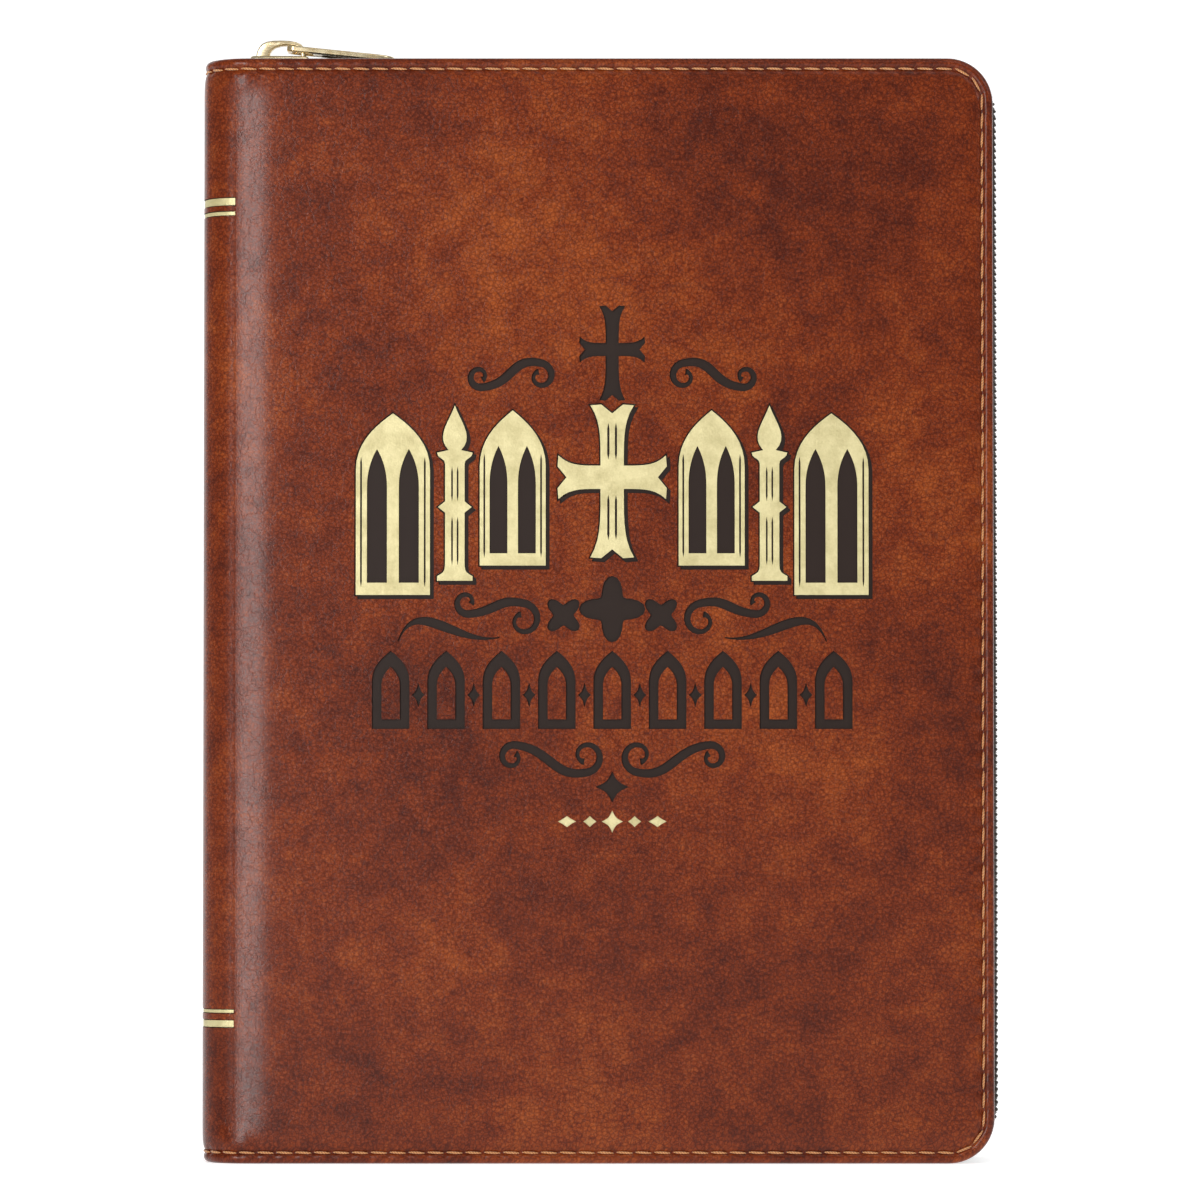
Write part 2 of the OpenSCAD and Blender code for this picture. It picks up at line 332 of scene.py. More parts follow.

# %% [markdown]
# Sewing thread is strands twisted together. Slanting bands of painted light and shade in the
# colour, and bands in the relief, stand for the twist, and they follow each stitch's own map.
# Modelled strands would need many faces for a thing a quarter of a millimetre thick.

# %% Thread
def thread_material(name, dark, light):
    material, shader, mm = start_material(name, roughness=0.55, space="UV")
    shader.inputs["Sheen Weight"].default_value = 0.3
    twist_relief_and_shade = add_node(material, "ShaderNodeTexWave", {"Vector": mm, "Scale": 1.1, "Distortion": 0.6},
                     bands_direction="DIAGONAL").outputs["Fac"]
    # Painted shade and highlight: the colour runs from the dark to the light colour across each band of the
    # twist.
    drive(material, shader, "Base Color", colour_ramp(material, twist_relief_and_shade, (0.0, dark), (0.8, light)))
    bump(material, shader, (twist_relief_and_shade, 0.12, 0.7))
    return material


# The two thread colours are the painted shaded and lit sides of the twist.
cover_thread = thread_material("orange_thread", (0.30, 0.10, 0.03), (0.58, 0.26, 0.08))
print("thread for the covers:", cover_thread.name)

# %% [markdown]
# The slider and its pull are plated in pale brass. Noise stretched along X gives the fine
# lines of polishing, which vary the roughness, and faint tarnish varies the colour.

# %% Brass
def brass_material():
    material, shader, mm = start_material("pale_brass", metallic=1.0)
    brushed = add_node(material, "ShaderNodeMapping", {"Vector": mm, "Scale": (0.4, 3, 3)}).outputs[0]
    lines = noise_at(material, brushed, 2.5, detail=5, roughness=0.7)
    tarnish = noise_at(material, mm, 0.5, detail=5)
    drive(material, shader, "Base Color",
          colour_ramp(material, tarnish, (0.3, (0.66, 0.50, 0.27)), (0.65, (0.85, 0.72, 0.47))))
    drive(material, shader, "Roughness", colour_ramp(material, lines, (0.3, (0.17,) * 3), (0.75, (0.34,) * 3)))
    bump(material, shader, (lines, 0.02, 0.25))
    return material


brass = brass_material()
print("metal:", brass.name)

# %% [markdown]
# Tape, mull, ribbon and padding are woven. Two sets of waves, multiplied, give threads that
# cross, so one function serves every cloth with its own pitch and colours. The grey board's
# felted face is close enough to a coarse cloth to share it.

# %% Cloths
THREADS_PER_WAVE = 0.314


def woven_material(name, dark, light, pitch, space="Object"):
    """Cloth of crossing threads, pitch millimetres apart."""
    material, shader, mm = start_material(name, roughness=0.8, space=space)
    shader.inputs["Sheen Weight"].default_value = 0.06
    shader.inputs["Specular IOR Level"].default_value = 0.25
    waves = [add_node(material, "ShaderNodeTexWave", {
        "Vector": mm, "Scale": THREADS_PER_WAVE / pitch, "Distortion": 0.3},
        bands_direction=direction).outputs["Fac"] for direction in ("X", "Y")]
    weave = joined_values(material, "MULTIPLY", *waves)
    fuzz = noise_at(material, mm, 3.0)
    blend = joined_values(material, "MULTIPLY", weave, fuzz)
    drive(material, shader, "Base Color", colour_ramp(material, blend, (0.0, dark), (0.5, light)))
    bump(material, shader, (weave, 0.15, 0.7), (fuzz, 0.05, 0.5))
    return material


thread_small = woven_material("tab_thread", (0.45, 0.17, 0.05), (0.78, 0.38, 0.14), 0.3)
tape_cloth = woven_material("zip_tape_cloth", (0.010, 0.007, 0.005), (0.050, 0.034, 0.026), 0.45, space="UV")
mull_cloth = woven_material("mull_cloth", (0.35, 0.33, 0.28), (0.72, 0.70, 0.62), 1.2)
ribbon_satin = woven_material("ribbon_satin", (0.10, 0.006, 0.006), (0.34, 0.02, 0.02), 0.35)
foam_cloth = woven_material("padding", (0.5, 0.45, 0.3), (0.8, 0.75, 0.55), 0.9)
grey_board = woven_material("grey_board", (0.25, 0.24, 0.22), (0.42, 0.40, 0.37), 0.8)
print("cloth for the tapes has a thread every 0.45 mm")

# %% [markdown]
# The zip's loops are dark nylon with a soft shine. There are hundreds of them, each about
# three millimetres across, so a plain finish with a slight grain is enough.

# %% Nylon
def nylon_material():
    material, shader, mm = start_material("nylon_coil", roughness=0.42)
    shader.inputs["Specular IOR Level"].default_value = 0.3
    grain = noise_at(material, mm, 1.0, detail=3)
    drive(material, shader, "Base Color",
          colour_ramp(material, grain, (0.3, (0.020, 0.013, 0.009)), (0.7, (0.040, 0.026, 0.018))))
    bump(material, shader, (grain, 0.03, 0.3))
    return material


nylon = nylon_material()
print("plastic:", nylon.name)

# %% [markdown]
# The gilded edge of a block is the edges of many hundred leaves. Noise drawn out along the
# leaves gives their fine lines, and the map's second axis counts through them. A page seen
# flat has only the fibres of its paper.

# %% Pages
def page_material(name, dark, light, roughness, metallic=0.0):
    material, shader, mm = start_material(name, roughness=roughness, metallic=metallic, space="UV")
    stretched = add_node(material, "ShaderNodeMapping", {"Vector": mm, "Scale": (0.02, 9.0, 1)}).outputs[0]
    leaves = noise_at(material, stretched, 1.0, detail=2, roughness=0.6)
    drive(material, shader, "Base Color", colour_ramp(material, leaves, (0.3, dark), (0.65, light)))
    bump(material, shader, (leaves, 0.12, 0.8), (noise_at(material, mm, 0.05), 0.5, 0.2))
    return material


def paper_material():
    material, shader, mm = start_material("page_paper", roughness=0.85, space="UV")
    fibre = noise_at(material, mm, 1.2, detail=6, roughness=0.7)
    drive(material, shader, "Base Color",
          colour_ramp(material, fibre, (0.3, (0.74, 0.68, 0.55)), (0.7, (0.82, 0.77, 0.65))))
    bump(material, shader, (fibre, 0.03, 0.4))
    return material


gilt_edge = page_material("gilt_edges", (0.40, 0.27, 0.10), (0.72, 0.55, 0.26), 0.38, metallic=0.75)
paper = paper_material()
print("pages:", gilt_edge.name, "and", paper.name)

# %% [markdown]
# The floor is a pale studio paper. It glows a little, so that it stays white in the corners
# of the picture where the lights fall off.

# %% Floor finish
def floor_material():
    material, shader, mm = start_material("studio_floor", roughness=0.6)
    grain = noise_at(material, mm, 0.05, detail=3)
    drive(material, shader, "Base Color",
          colour_ramp(material, grain, (0.3, (0.86, 0.86, 0.86)), (0.7, (0.90, 0.90, 0.90))))
    shader.inputs["Emission Color"].default_value = (1, 1, 1, 1)
    shader.inputs["Emission Strength"].default_value = 0.6
    return material


floor.data.materials.append(floor_material())
print("there are", len(bpy.data.materials), "finishes")

# %% [markdown]
# # Helpers for making pieces
#
# Every piece starts as a bmesh, a mesh that can be edited in memory. The helpers turn it
# into an object, give its faces a place on the map, copy a small mesh many times, and join
# a row of rings with faces. Rings are used for long shapes whose section changes on the
# way, where an extrusion would need an edit after each step.

# %% Objects and meshes
def make_piece(name, bm, *materials, sharp=40):
    """Turns a finished bmesh into an object at the origin."""
    mesh = bpy.data.meshes.new(name)
    bm.to_mesh(mesh)
    bm.free()
    for material in materials:
        mesh.materials.append(material)
    mesh.shade_smooth()
    mesh.set_sharp_from_angle(angle=math.radians(sharp))
    piece = bpy.data.objects.new(name, mesh)
    bpy.context.scene.collection.objects.link(piece)
    print(name, "has", len(mesh.polygons), "faces")
    return piece


def mesh_copy(obj):
    """The object's mesh with its modifiers applied."""
    bpy.context.view_layer.update()
    evaluated = obj.evaluated_get(bpy.context.evaluated_depsgraph_get())
    return bpy.data.meshes.new_from_object(evaluated)


def drop(obj):
    mesh = obj.data
    bpy.data.objects.remove(obj)
    if isinstance(mesh, bpy.types.Mesh) and mesh.users == 0:
        bpy.data.meshes.remove(mesh)


def map_faces(bm, to_map):
    """Gives each corner a place on the map, in metres, from its point and its face's normal."""
    layer = bm.loops.layers.uv.verify()
    bm.normal_update()
    for face in bm.faces:
        for loop in face.loops:
            loop[layer].uv = to_map(loop.vert.co, face.normal)


def repeat(bm, template, places):
    """Adds a copy of the template mesh at each place, a 4 x 4 matrix."""
    for place in places:
        first = len(bm.verts)
        bm.from_mesh(template)
        bm.verts.ensure_lookup_table()
        bmesh.ops.transform(bm, matrix=place, verts=bm.verts[first:])


# %% Rings and cuts
def skin(bm, rings, closed=False):
    """Joins neighbouring rings with faces. The two ends are capped, or joined if it is closed."""
    faces = []
    for first, second in zip(rings, rings[1:] + rings[:1] if closed else rings[1:]):
        for j in range(len(first)):
            k = (j + 1) % len(first)
            faces.append(bm.faces.new((first[j], second[j], second[k], first[k])))
    if not closed:
        faces += [bm.faces.new(rings[0]), bm.faces.new(rings[-1])]
    bmesh.ops.recalc_face_normals(bm, faces=faces)
    return faces


def cut_at(bm, along, keep_right=False):
    """Cuts straight across at a place on X, and keeps both sides or only the right one."""
    bmesh.ops.bisect_plane(bm, geom=bm.verts[:] + bm.edges[:] + bm.faces[:], dist=1e-6,
                           plane_co=(along, 0, 0), plane_no=(1, 0, 0), clear_inner=keep_right)


def cut_stretch(bm, start, end, cuts=17):
    """Cuts a stretch that will bend into narrow strips."""
    for step in range(cuts):
        cut_at(bm, start + (end - start) * step / (cuts - 1))


def section_of(node):
    """The low and high corners of a node's box, in millimetres."""
    return [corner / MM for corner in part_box(node)]


# %% [markdown]
# # The leather wrap
#
# On the real book one hide covers front, spine and back. It is cut flat, padded, sewn round
# its edge, and folded over the two shoulders. It is made the same way here: a flat sheet
# gets its edge roll and its sunk line of stitching from insets, and only then is folded.
# Flat places are (along the sheet from the middle of the spine, depth, height).

# %% Fold map
SPINE_FLAT = HALF_T - SHOULDER
BEND = SHOULDER * math.pi / 2
FACE_U = SPINE_FLAT + BEND
SHEET_W = FACE_U + FORE_X - SPINE_X - SHOULDER
HINGE_U = FACE_U + HINGE_X - SPINE_X - SHOULDER


def fold(point, side=-1):
    """A flat place on the standing book. Side is -1 for the front and 1 for the back."""
    along, depth, height = point
    if along < SPINE_FLAT:
        return Vector((SPINE_X + depth, side * along, height))
    if along < FACE_U:
        turn = (along - SPINE_FLAT) / SHOULDER
        radius = SHOULDER - depth
        return Vector((SPINE_X + SHOULDER - radius * math.cos(turn),
                       side * (SPINE_FLAT + radius * math.sin(turn)), height))
    return Vector((SPINE_X + SHOULDER + along - FACE_U, side * (HALF_T - depth), height))

print("a flat half sheet is", round(SHEET_W / MM, 1), "mm wide from the middle of the spine")

# %% [markdown]
# One line carries the stitches and the holes that they pull down: along the head, round the
# corner, down the fore-edge, round the other corner and back along the tail. It lies a
# little inside the sheet's edge. It is read both ways, from a place to the line and from a
# run along the line to a place, so that the dents in the leather and the thread agree.

# %% The line of stitching
STITCH_IN = 2.2 * MM
STITCH_ARC = (CORNER - STITCH_IN) * math.pi / 2
STRAIGHT = SHEET_W - CORNER
FORE_RUN = HEAD_Z - 2 * CORNER
ROW = 2 * STRAIGHT + 2 * STITCH_ARC + FORE_RUN
STITCHES = round(ROW / (3.7 * MM))
PITCH = ROW / STITCHES


def edge_place(along, height):
    """How far a flat place is from the sheet's edge, and how far along the row it is."""
    high, low = HEAD_Z - CORNER, CORNER
    if along > STRAIGHT and not low < height < high:
        out = Vector((along - STRAIGHT, height - (high if height > high else low)))
        share = math.atan2(out.x, out.y) / (math.pi / 2)
        if height > high:
            return CORNER - out.length, STRAIGHT + share * STITCH_ARC
        return CORNER - out.length, STRAIGHT + STITCH_ARC + FORE_RUN + (share - 1) * STITCH_ARC
    gaps = (HEAD_Z - height, SHEET_W - along, height)
    nearest = gaps.index(min(gaps))
    runs = (along, STRAIGHT + STITCH_ARC + high - height, ROW - along)
    return gaps[nearest], runs[nearest]


def row_place(run):
    """A place on the row: (along, height, direction of the row as an angle)."""
    if run < STRAIGHT:
        return run, HEAD_Z - STITCH_IN, 0.0
    run -= STRAIGHT
    if run < STITCH_ARC:
        turn = run / (CORNER - STITCH_IN)
        return (STRAIGHT + (CORNER - STITCH_IN) * math.sin(turn),
                HEAD_Z - CORNER + (CORNER - STITCH_IN) * math.cos(turn), -turn)
    run -= STITCH_ARC
    if run < FORE_RUN:
        return SHEET_W - STITCH_IN, HEAD_Z - CORNER - run, -math.pi / 2
    run -= FORE_RUN
    if run < STITCH_ARC:
        turn = run / (CORNER - STITCH_IN)
        return (STRAIGHT + (CORNER - STITCH_IN) * math.cos(turn),
                CORNER - (CORNER - STITCH_IN) * math.sin(turn), -math.pi / 2 - turn)
    run -= STITCH_ARC
    return STRAIGHT - run, STITCH_IN, -math.pi


print("half the wrap carries", STITCHES, "stitches,", round(PITCH / MM, 2), "mm apart")

# %% [markdown]
# The sheet starts as four corners. Two of them are rounded with a bevel, and the edges are
# divided so that each stitch gets six steps. Then the one big face is inset again and
# again, each time at its own depth: those rings are the rolled edge, the sunk channel of the
# stitching and the swell of the padding. A second face, turned over, is the edge turned in
# at the back. Insets follow the outline by themselves, so the corners need no care.

# %% The flat sheet
# Each ring is (distance in from the edge, depth under the face), in millimetres.
FACE_RINGS = [(0.12, 0.80), (0.35, 0.42), (0.7, 0.16), (1.1, 0.04), (1.5, 0.10), (1.8, 0.26),
              (2.0, 0.46), (2.2, 0.55), (2.4, 0.46), (2.65, 0.26), (3.0, 0.08), (3.5, -0.04),
              (4.3, -0.12), (5.4, -0.17), (6.8, -0.20), (8.2, -0.20)]
BACK_RINGS = [(0.15, 2.1), (0.5, 2.6), (1.0, 2.7), (4.0, 2.7), (4.15, 1.0)]
EDGE_DEPTH = 1.4
OVERHANG = 12 * MM
STEPS_PER_STITCH = 6


def sheet_rings(bm, face, rings, outward):
    """Insets the face again and again, so that its border takes the rings' profile."""
    done, depth = 0.0, EDGE_DEPTH
    for inset, level in rings:
        bmesh.ops.inset_individual(bm, faces=[face], thickness=(inset - done) * MM,
                                   depth=(depth - level) * outward * MM, use_even_offset=True)
        done, depth = inset, level


def flat_sheet():
    bm = bmesh.new()
    corners = [(-OVERHANG, 0), (SHEET_W, 0), (SHEET_W, HEAD_Z), (-OVERHANG, HEAD_Z)]
    verts = [bm.verts.new((x, EDGE_DEPTH * MM, z)) for x, z in corners]
    bm.faces.new(verts)
    arc_steps = round(STITCH_ARC / PITCH * STEPS_PER_STITCH)
    bmesh.ops.bevel(bm, geom=verts[1:3], offset=CORNER, segments=arc_steps, profile=0.5,
                    affect="VERTICES", material=-1)
    fore_edge = [e for e in bm.edges if e.calc_length() > 20 * MM and min(v.co.x for v in e.verts) > 0]
    head_and_tail = [e for e in bm.edges if abs(e.verts[0].co.x - e.verts[1].co.x) > 20 * MM]
    for edge in fore_edge + head_and_tail:
        steps = round(edge.calc_length() / PITCH * STEPS_PER_STITCH)
        bmesh.ops.subdivide_edges(bm, edges=[edge], cuts=steps - 1)
    bm.faces.ensure_lookup_table()
    front = bm.faces[0]
    bm.normal_update()
    if front.normal.y > 0:
        bmesh.ops.reverse_faces(bm, faces=[front])
    copied = bmesh.ops.duplicate(bm, geom=[front])["geom"]
    back = next(g for g in copied if isinstance(g, bmesh.types.BMFace))
    bmesh.ops.reverse_faces(bm, faces=[back])
    bm.normal_update()
    sheet_rings(bm, front, FACE_RINGS, 1)
    sheet_rings(bm, back, BACK_RINGS, -1)
    bmesh.ops.remove_doubles(bm, verts=bm.verts, dist=0.002 * MM)
    return bm


# %% [markdown]
# Only the half from the middle of the spine is kept, because the front and the back of the
# book are made one at a time. It is cut into narrow strips where it will bend. At each
# needle hole the thread pulls the leather down a little, as it does on any sewn edge.

# %% Half a wrap
PUCKER, PUCKER_REACH = 0.22, 1.1 * MM
WRAP_CUTS = [SPINE_FLAT + (HINGE_U + 10 * MM - SPINE_FLAT) * step / 47 for step in range(48)]


def pucker(bm):
    """The thread pulls the leather down at each needle hole and lets it rise between."""
    for vert in bm.verts:
        inset, run = edge_place(vert.co.x, vert.co.z)
        if vert.co.y < 0.9 * MM and 0.5 * MM < inset < 4.6 * MM:
            reach = math.exp(-((inset - STITCH_IN) / PUCKER_REACH) ** 2)
            hole = (0.5 + 0.5 * math.cos(2 * math.pi * run / PITCH)) ** 2
            vert.co.y += (PUCKER * hole - 0.05) * reach * MM


def wrap_half(shift=(0, 0)):
    """The flat half sheet, with its map shifted so that two halves don't show the same clouds."""
    bm = flat_sheet()
    cut_at(bm, 0, keep_right=True)
    bmesh.ops.holes_fill(bm, edges=[e for e in bm.edges if e.is_boundary], sides=0)
    for along in WRAP_CUTS:
        cut_at(bm, along)
    pucker(bm)
    bmesh.ops.recalc_face_normals(bm, faces=bm.faces)
    map_faces(bm, lambda co, normal: (co.x + co.y + shift[0], co.z + co.y + shift[1]))
    return bm


# %% [markdown]
# # The front's decoration
#
# The real front is stamped with dark sunk work and pale gold foil. The design here is a
# plain church one: a cross between lancet windows and candle pillars in gold, dark scrolls,
# a small arcade and a lozenge. Each outline is drawn in millimetres from the middle of the
# panel, as few points as it needs, and mirrored where it has a twin.

# %% Moving outlines
def tidy(outline):
    """The outline without points that repeat the one before."""
    return [p for p, q in zip(outline, outline[-1:] + outline[:-1]) if math.dist(p, q) > 0.01]


def mirror_x(outline):
    return [(-x, z) for x, z in reversed(outline)]


def move(outline, dx, dz):
    return [(x + dx, z + dz) for x, z in outline]


def curve_points(start, start_pull, end_pull, end, steps=14):
    points = interpolate_bezier(Vector((*start, 0)), Vector((*start_pull, 0)), Vector((*end_pull, 0)),
                                Vector((*end, 0)), steps)
    return [(p.x, p.y) for p in points]


def twins(outline):
    return [outline, mirror_x(outline)]


# %% Outlines of crosses, windows and pillars
def cross_outline(up, side, down, stem, flare, notch):
    """A cross whose four arms flare and end in a shallow notch."""
    outline = []
    for quarter, length in enumerate((up, side, down, side)):
        turn = Matrix.Rotation(-quarter * math.pi / 2, 2)
        arm = []
        for step in range(9):
            share = step / 8
            half = stem / 2 + (flare - stem) / 2 * share ** 4
            arm.append((-half, stem / 2 + (length - stem / 2) * share))
        tip = [(-flare / 4, length + notch * 0.1), (0, length - notch), (flare / 4, length + notch * 0.1)]
        arm += tip + mirror_x(arm)
        outline += [tuple(turn @ Vector(p)) for p in arm[:-1]]
    return outline


def lancet_outline(width, foot, spring, rise):
    """A pointed arch on two straight sides, from its foot to its point."""
    half = width / 2
    left = curve_points((-half, spring), (-half, spring + rise * 0.5), (-half * 0.42, spring + rise * 0.8),
                        (0, spring + rise), 10)
    return [(-half, foot)] + left + mirror_x(left)[1:] + [(half, foot)]


def pillar_outline(width, foot, top):
    """A candle pillar: stepped foot, shaft with a collar, and a flame."""
    half = width / 2
    shaft = half * 0.55
    collar = foot + (top - foot) * 0.42
    cup = top - (top - foot) * 0.27
    foot_curve = [(-half * 0.8, foot + 1.3), (-shaft, foot + 1.8), (-shaft, foot + 2.4), (-shaft, foot + 4)]
    cup_curve = [(-shaft, cup - 2.2), (-shaft, cup - 1), (-half, cup - 1.2), (-half, cup)]
    flame = [(-half * 0.35, cup + 0.5), (-half * 1.1, cup + 3.2), (-half * 0.35, top - 3.5), (0, top)]
    left = [(-half, foot), (-half, foot + 0.9), *curve_points(*foot_curve, 5)]
    left += [(-shaft, collar - 1.1), (-half * 0.95, collar), (-shaft, collar + 1.1)]
    left += curve_points(*cup_curve, 6) + curve_points(*flame, 10)
    return left + mirror_x(left)[1:]


def slot_outline(half, foot, top):
    """A thin engraved line with pointed ends."""
    return [(0, foot), (half, foot + 1.2), (half, top - 1.2), (0, top), (-half, top - 1.2), (-half, foot + 1.2)]


def petal_outline(radius, petals, depth, turn=0.0, steps=40):
    """A flower with rounded petals."""
    outline = []
    for angle in (2 * math.pi * step / steps for step in range(steps)):
        reach = radius * (1 - depth * math.cos(petals * angle))
        outline.append((reach * math.cos(angle + turn), reach * math.sin(angle + turn)))
    return outline


def lozenge_outline(width, height, pinch=0.18):
    """A lozenge whose four sides curve inwards."""
    points = [(0, height / 2), (width / 2, 0), (0, -height / 2), (-width / 2, 0)]
    outline = []
    for first, second in zip(points, points[1:] + points[:1]):
        pull = tuple((a + b) / 2 * (1 - pinch * 2) for a, b in zip(first, second))
        outline += curve_points(first, pull, pull, second, 8)[:-1]
    return outline


# %% [markdown]
# A scroll is a line first: two spirals joined by one easy curve. Then the line gets its
# width, thick in the middle and thin beside the curls, as a pen would give it.

# %% Scrolls
def stroke_outline(path, width):
    """A band along a path; width(share) gives its half width from end to end."""
    left, right = [], []
    last = len(path) - 1
    for i, here in enumerate(path):
        before, after = path[max(i - 1, 0)], path[min(i + 1, last)]
        direction = (Vector(after) - Vector(before)).normalized()
        offset = Vector((-direction.y, direction.x)) * width(i / last)
        left.append(tuple(Vector(here) + offset))
        right.append(tuple(Vector(here) - offset))
    return left + right[::-1]


def curl(centre, radius, start, sweep, inner=0.36, steps=18):
    """A spiral from near its centre out to the given radius, ending at the start angle."""
    points = []
    for step in range(steps + 1):
        share = step / steps
        angle = start - sweep * (1 - share)
        reach = radius * (inner + (1 - inner) * share)
        points.append((centre[0] + reach * math.cos(angle), centre[1] + reach * math.sin(angle)))
    return points


def scroll_path(first_curl, second_curl, pull):
    """Two curls, each a centre, radius, start angle and sweep, joined by one easy curve."""
    sides = []
    for centre, radius, start, sweep in (first_curl, second_curl):
        start, sweep = math.radians(start), math.radians(sweep)
        sign = math.copysign(1, sweep)
        points = curl(centre, radius, start, sweep)
        leave = (points[-1][0] - math.sin(start) * sign * pull, points[-1][1] + math.cos(start) * sign * pull)
        sides.append((points, leave))
    (first, leave), (second, arrive) = sides
    bridge = curve_points(first[-1], leave, arrive, second[-1], 22)
    return first + bridge[1:-1] + second[::-1]


def swelling(thin, thick, ball=0.0):
    """Half width of a scroll: thick in the middle, thin beside the curls, a ball at each end."""
    def width(share):
        end = min(share, 1 - share)
        return thin + (thick - thin) * math.sin(math.pi * share) ** 2 + ball * math.exp(-(end / 0.03) ** 2)
    return width


# %% [markdown]
# The design keeps the places of a line of big gold work, with dark work above and below it.
# The heights and widths are in millimetres, measured from the middle of the panel.

# %% The dark work
def dark_outlines():
    shapes = [move(cross_outline(8.6, 6.4, 10.0, 2.6, 5.2, 1.0), 0, 51.2)]
    upper = scroll_path(((-26.1, 45.9), 2.2, -85, 330), ((-14.2, 45.9), 2.6, 75, 330), 7.0)
    lower = scroll_path(((-28.6, 1.4), 2.4, -85, 300), ((-17.6, -2.2), 3.3, 75, 330), 6.0)
    base = scroll_path(((-19.6, -29.2), 2.5, 85, -330), ((-5.2, -28.9), 3.2, -75, -330), 7.5)
    tail = curve_points((-42.2, -6.4), (-38.5, 3.2), (-31, -7.4), (-22.2, -5.6), 22)
    shapes += twins(stroke_outline(upper, swelling(0.36, 0.95, 0.3)))
    shapes += twins(stroke_outline(lower, swelling(0.36, 0.95, 0.3)))
    shapes += twins(stroke_outline(tail, lambda share: 0.12 + 0.85 * math.sin(math.pi * share) ** 1.5))
    shapes += twins(stroke_outline(base, swelling(0.36, 0.95, 0.35)))
    shapes += [move(lozenge_outline(6.6, 6.2), 0, -35.0)]
    shapes += [petal_outline(4.9, 4, 0.34, turn=math.pi / 4)]
    shapes += twins(move(petal_outline(3.1, 4, 0.34), 9.6, -1.2))
    return shapes


def arcade_outlines():
    """A row of small pointed arches with lozenges between, as (outlines, holes)."""
    outlines, holes = [], []
    count, pitch, foot, top = 9, 10.9, -23.6, -8.2
    for i in range(count):
        x = (i - (count - 1) / 2) * pitch
        outlines.append(move(lancet_outline(7.4, foot, foot + 9.4, top - foot - 9.4), x, 0))
        holes.append(move(lancet_outline(3.6, foot + 1.9, foot + 8.6, 3.6), x, 0))
        if i < count - 1:
            outlines.append(move(lozenge_outline(2.6, 5.0), x + pitch / 2, (foot + top) / 2 - 1))
    return outlines, holes


# %% The gold work
def gold_outlines():
    """Cross, lancet windows and candle pillars, as (outlines, engraved lines)."""
    outlines = [move(cross_outline(14.2, 10.6, 15.8, 4.6, 8.6, 1.6), 0, 26.0)]
    lines = [move(slot_outline(0.22, foot, top), x, 26)
             for foot, top in ((-12.4, -3.4), (3.4, 10.8)) for x in (-0.75, 0.75)]
    for x, foot, top, width in ((19.6, 8.6, 39.2, 13.0), (43.2, 2.8, 38.6, 14.6)):
        outlines += twins(move(lancet_outline(width, foot, top - 11, 11), x, 0))
        pane = lancet_outline(width * 0.27, foot + 2.4, top - 14.5, 7.5)
        edge = slot_outline(0.18, foot + 1.5, top - 8.5)
        for side in (-1, 1):
            lines += twins(move(pane, x + side * width * 0.215, 0))
        for side in (-1, 1):
            lines += twins(move(edge, x + side * width * 0.43, 0))
    outlines += twins(move(pillar_outline(7.0, 5.6, 40.2), 31.0, 0))
    for foot, top in ((8.6, 18.3), (21.2, 28.2)):
        lines += [o for x in (-0.55, 0.55) for o in twins(move(slot_outline(0.17, foot, top), 31.0 + x, 0))]
    return outlines, lines


def rule_outlines():
    """The short gold rule under the design: a line of little lozenges and bars."""
    outlines = [move(lozenge_outline(4.2, 4.4), 0, -41.8)]
    for x, width in ((4.4, 2.6), (8.9, 3.6)):
        outlines += twins(move(lozenge_outline(width, 2.2, pinch=0.05), x, -41.8))
    return outlines


gold_shapes, gold_lines = gold_outlines()
arch_shapes, arch_holes = arcade_outlines()
rule_shapes = rule_outlines()
print("the design has", len(gold_shapes), "gold shapes and", len(arch_shapes), "small arches and lozenges")

# %% [markdown]
# An outline becomes solid as a filled curve: Blender fills between the outlines, leaves the
# holes open and gives the sheet its thickness. With a round bevel, the same helper makes
# the metal plates of the zip later. Here the solids stand in the flat sheet's space, as tools.

# %% Solids from outlines
DESIGN_IN = 80.8 * MM
DESIGN_U = FACE_U + DESIGN_IN - SHOULDER
DESIGN_Z = HEAD_Z / 2


def filled(name, outlines, thickness, bevel=0.0, steps=2):
    """The space between outlines, as thick as given, in millimetres and lying flat."""
    curve = bpy.data.curves.new(name, "CURVE")
    curve.dimensions = "2D"
    curve.fill_mode = "BOTH"
    curve.extrude = thickness / 2 - bevel
    curve.bevel_depth = bevel
    curve.bevel_resolution = steps
    curve.offset = -bevel
    for outline in map(tidy, outlines):
        spline = curve.splines.new("POLY")
        spline.points.add(len(outline) - 1)
        for point, (x, z) in zip(spline.points, outline):
            point.co = (x, z, 0, 1)
        spline.use_cyclic_u = True
    drawn = bpy.data.objects.new(name, curve)
    bpy.context.scene.collection.objects.link(drawn)
    bm = bmesh.new()
    mesh = mesh_copy(drawn)
    bm.from_mesh(mesh)
    bpy.data.meshes.remove(mesh)
    bpy.data.objects.remove(drawn)
    bpy.data.curves.remove(curve)
    return bm


def outline_prisms(name, outlines, holes, face, floor_depth, shift=(0, 0), index=0):
    """Solids from outlines, from one depth to another in the flat sheet."""
    bm = filled(name, [move(outline, *shift) for outline in outlines + holes], floor_depth - face)
    bmesh.ops.remove_doubles(bm, verts=bm.verts, dist=0.001)
    bmesh.ops.dissolve_degenerate(bm, edges=bm.edges, dist=0.0005)
    place = Matrix.Translation((DESIGN_U, (face + floor_depth) / 2 * MM, DESIGN_Z))
    stand = place @ Matrix.Rotation(math.pi / 2, 4, "X") @ Matrix.Scale(MM, 4)
    bmesh.ops.transform(bm, matrix=stand, verts=bm.verts)
    bmesh.ops.recalc_face_normals(bm, faces=bm.faces)
    map_faces(bm, lambda co, normal: (co.x, co.z))
    for prism_face in bm.faces:
        prism_face.material_index = index
    return bm


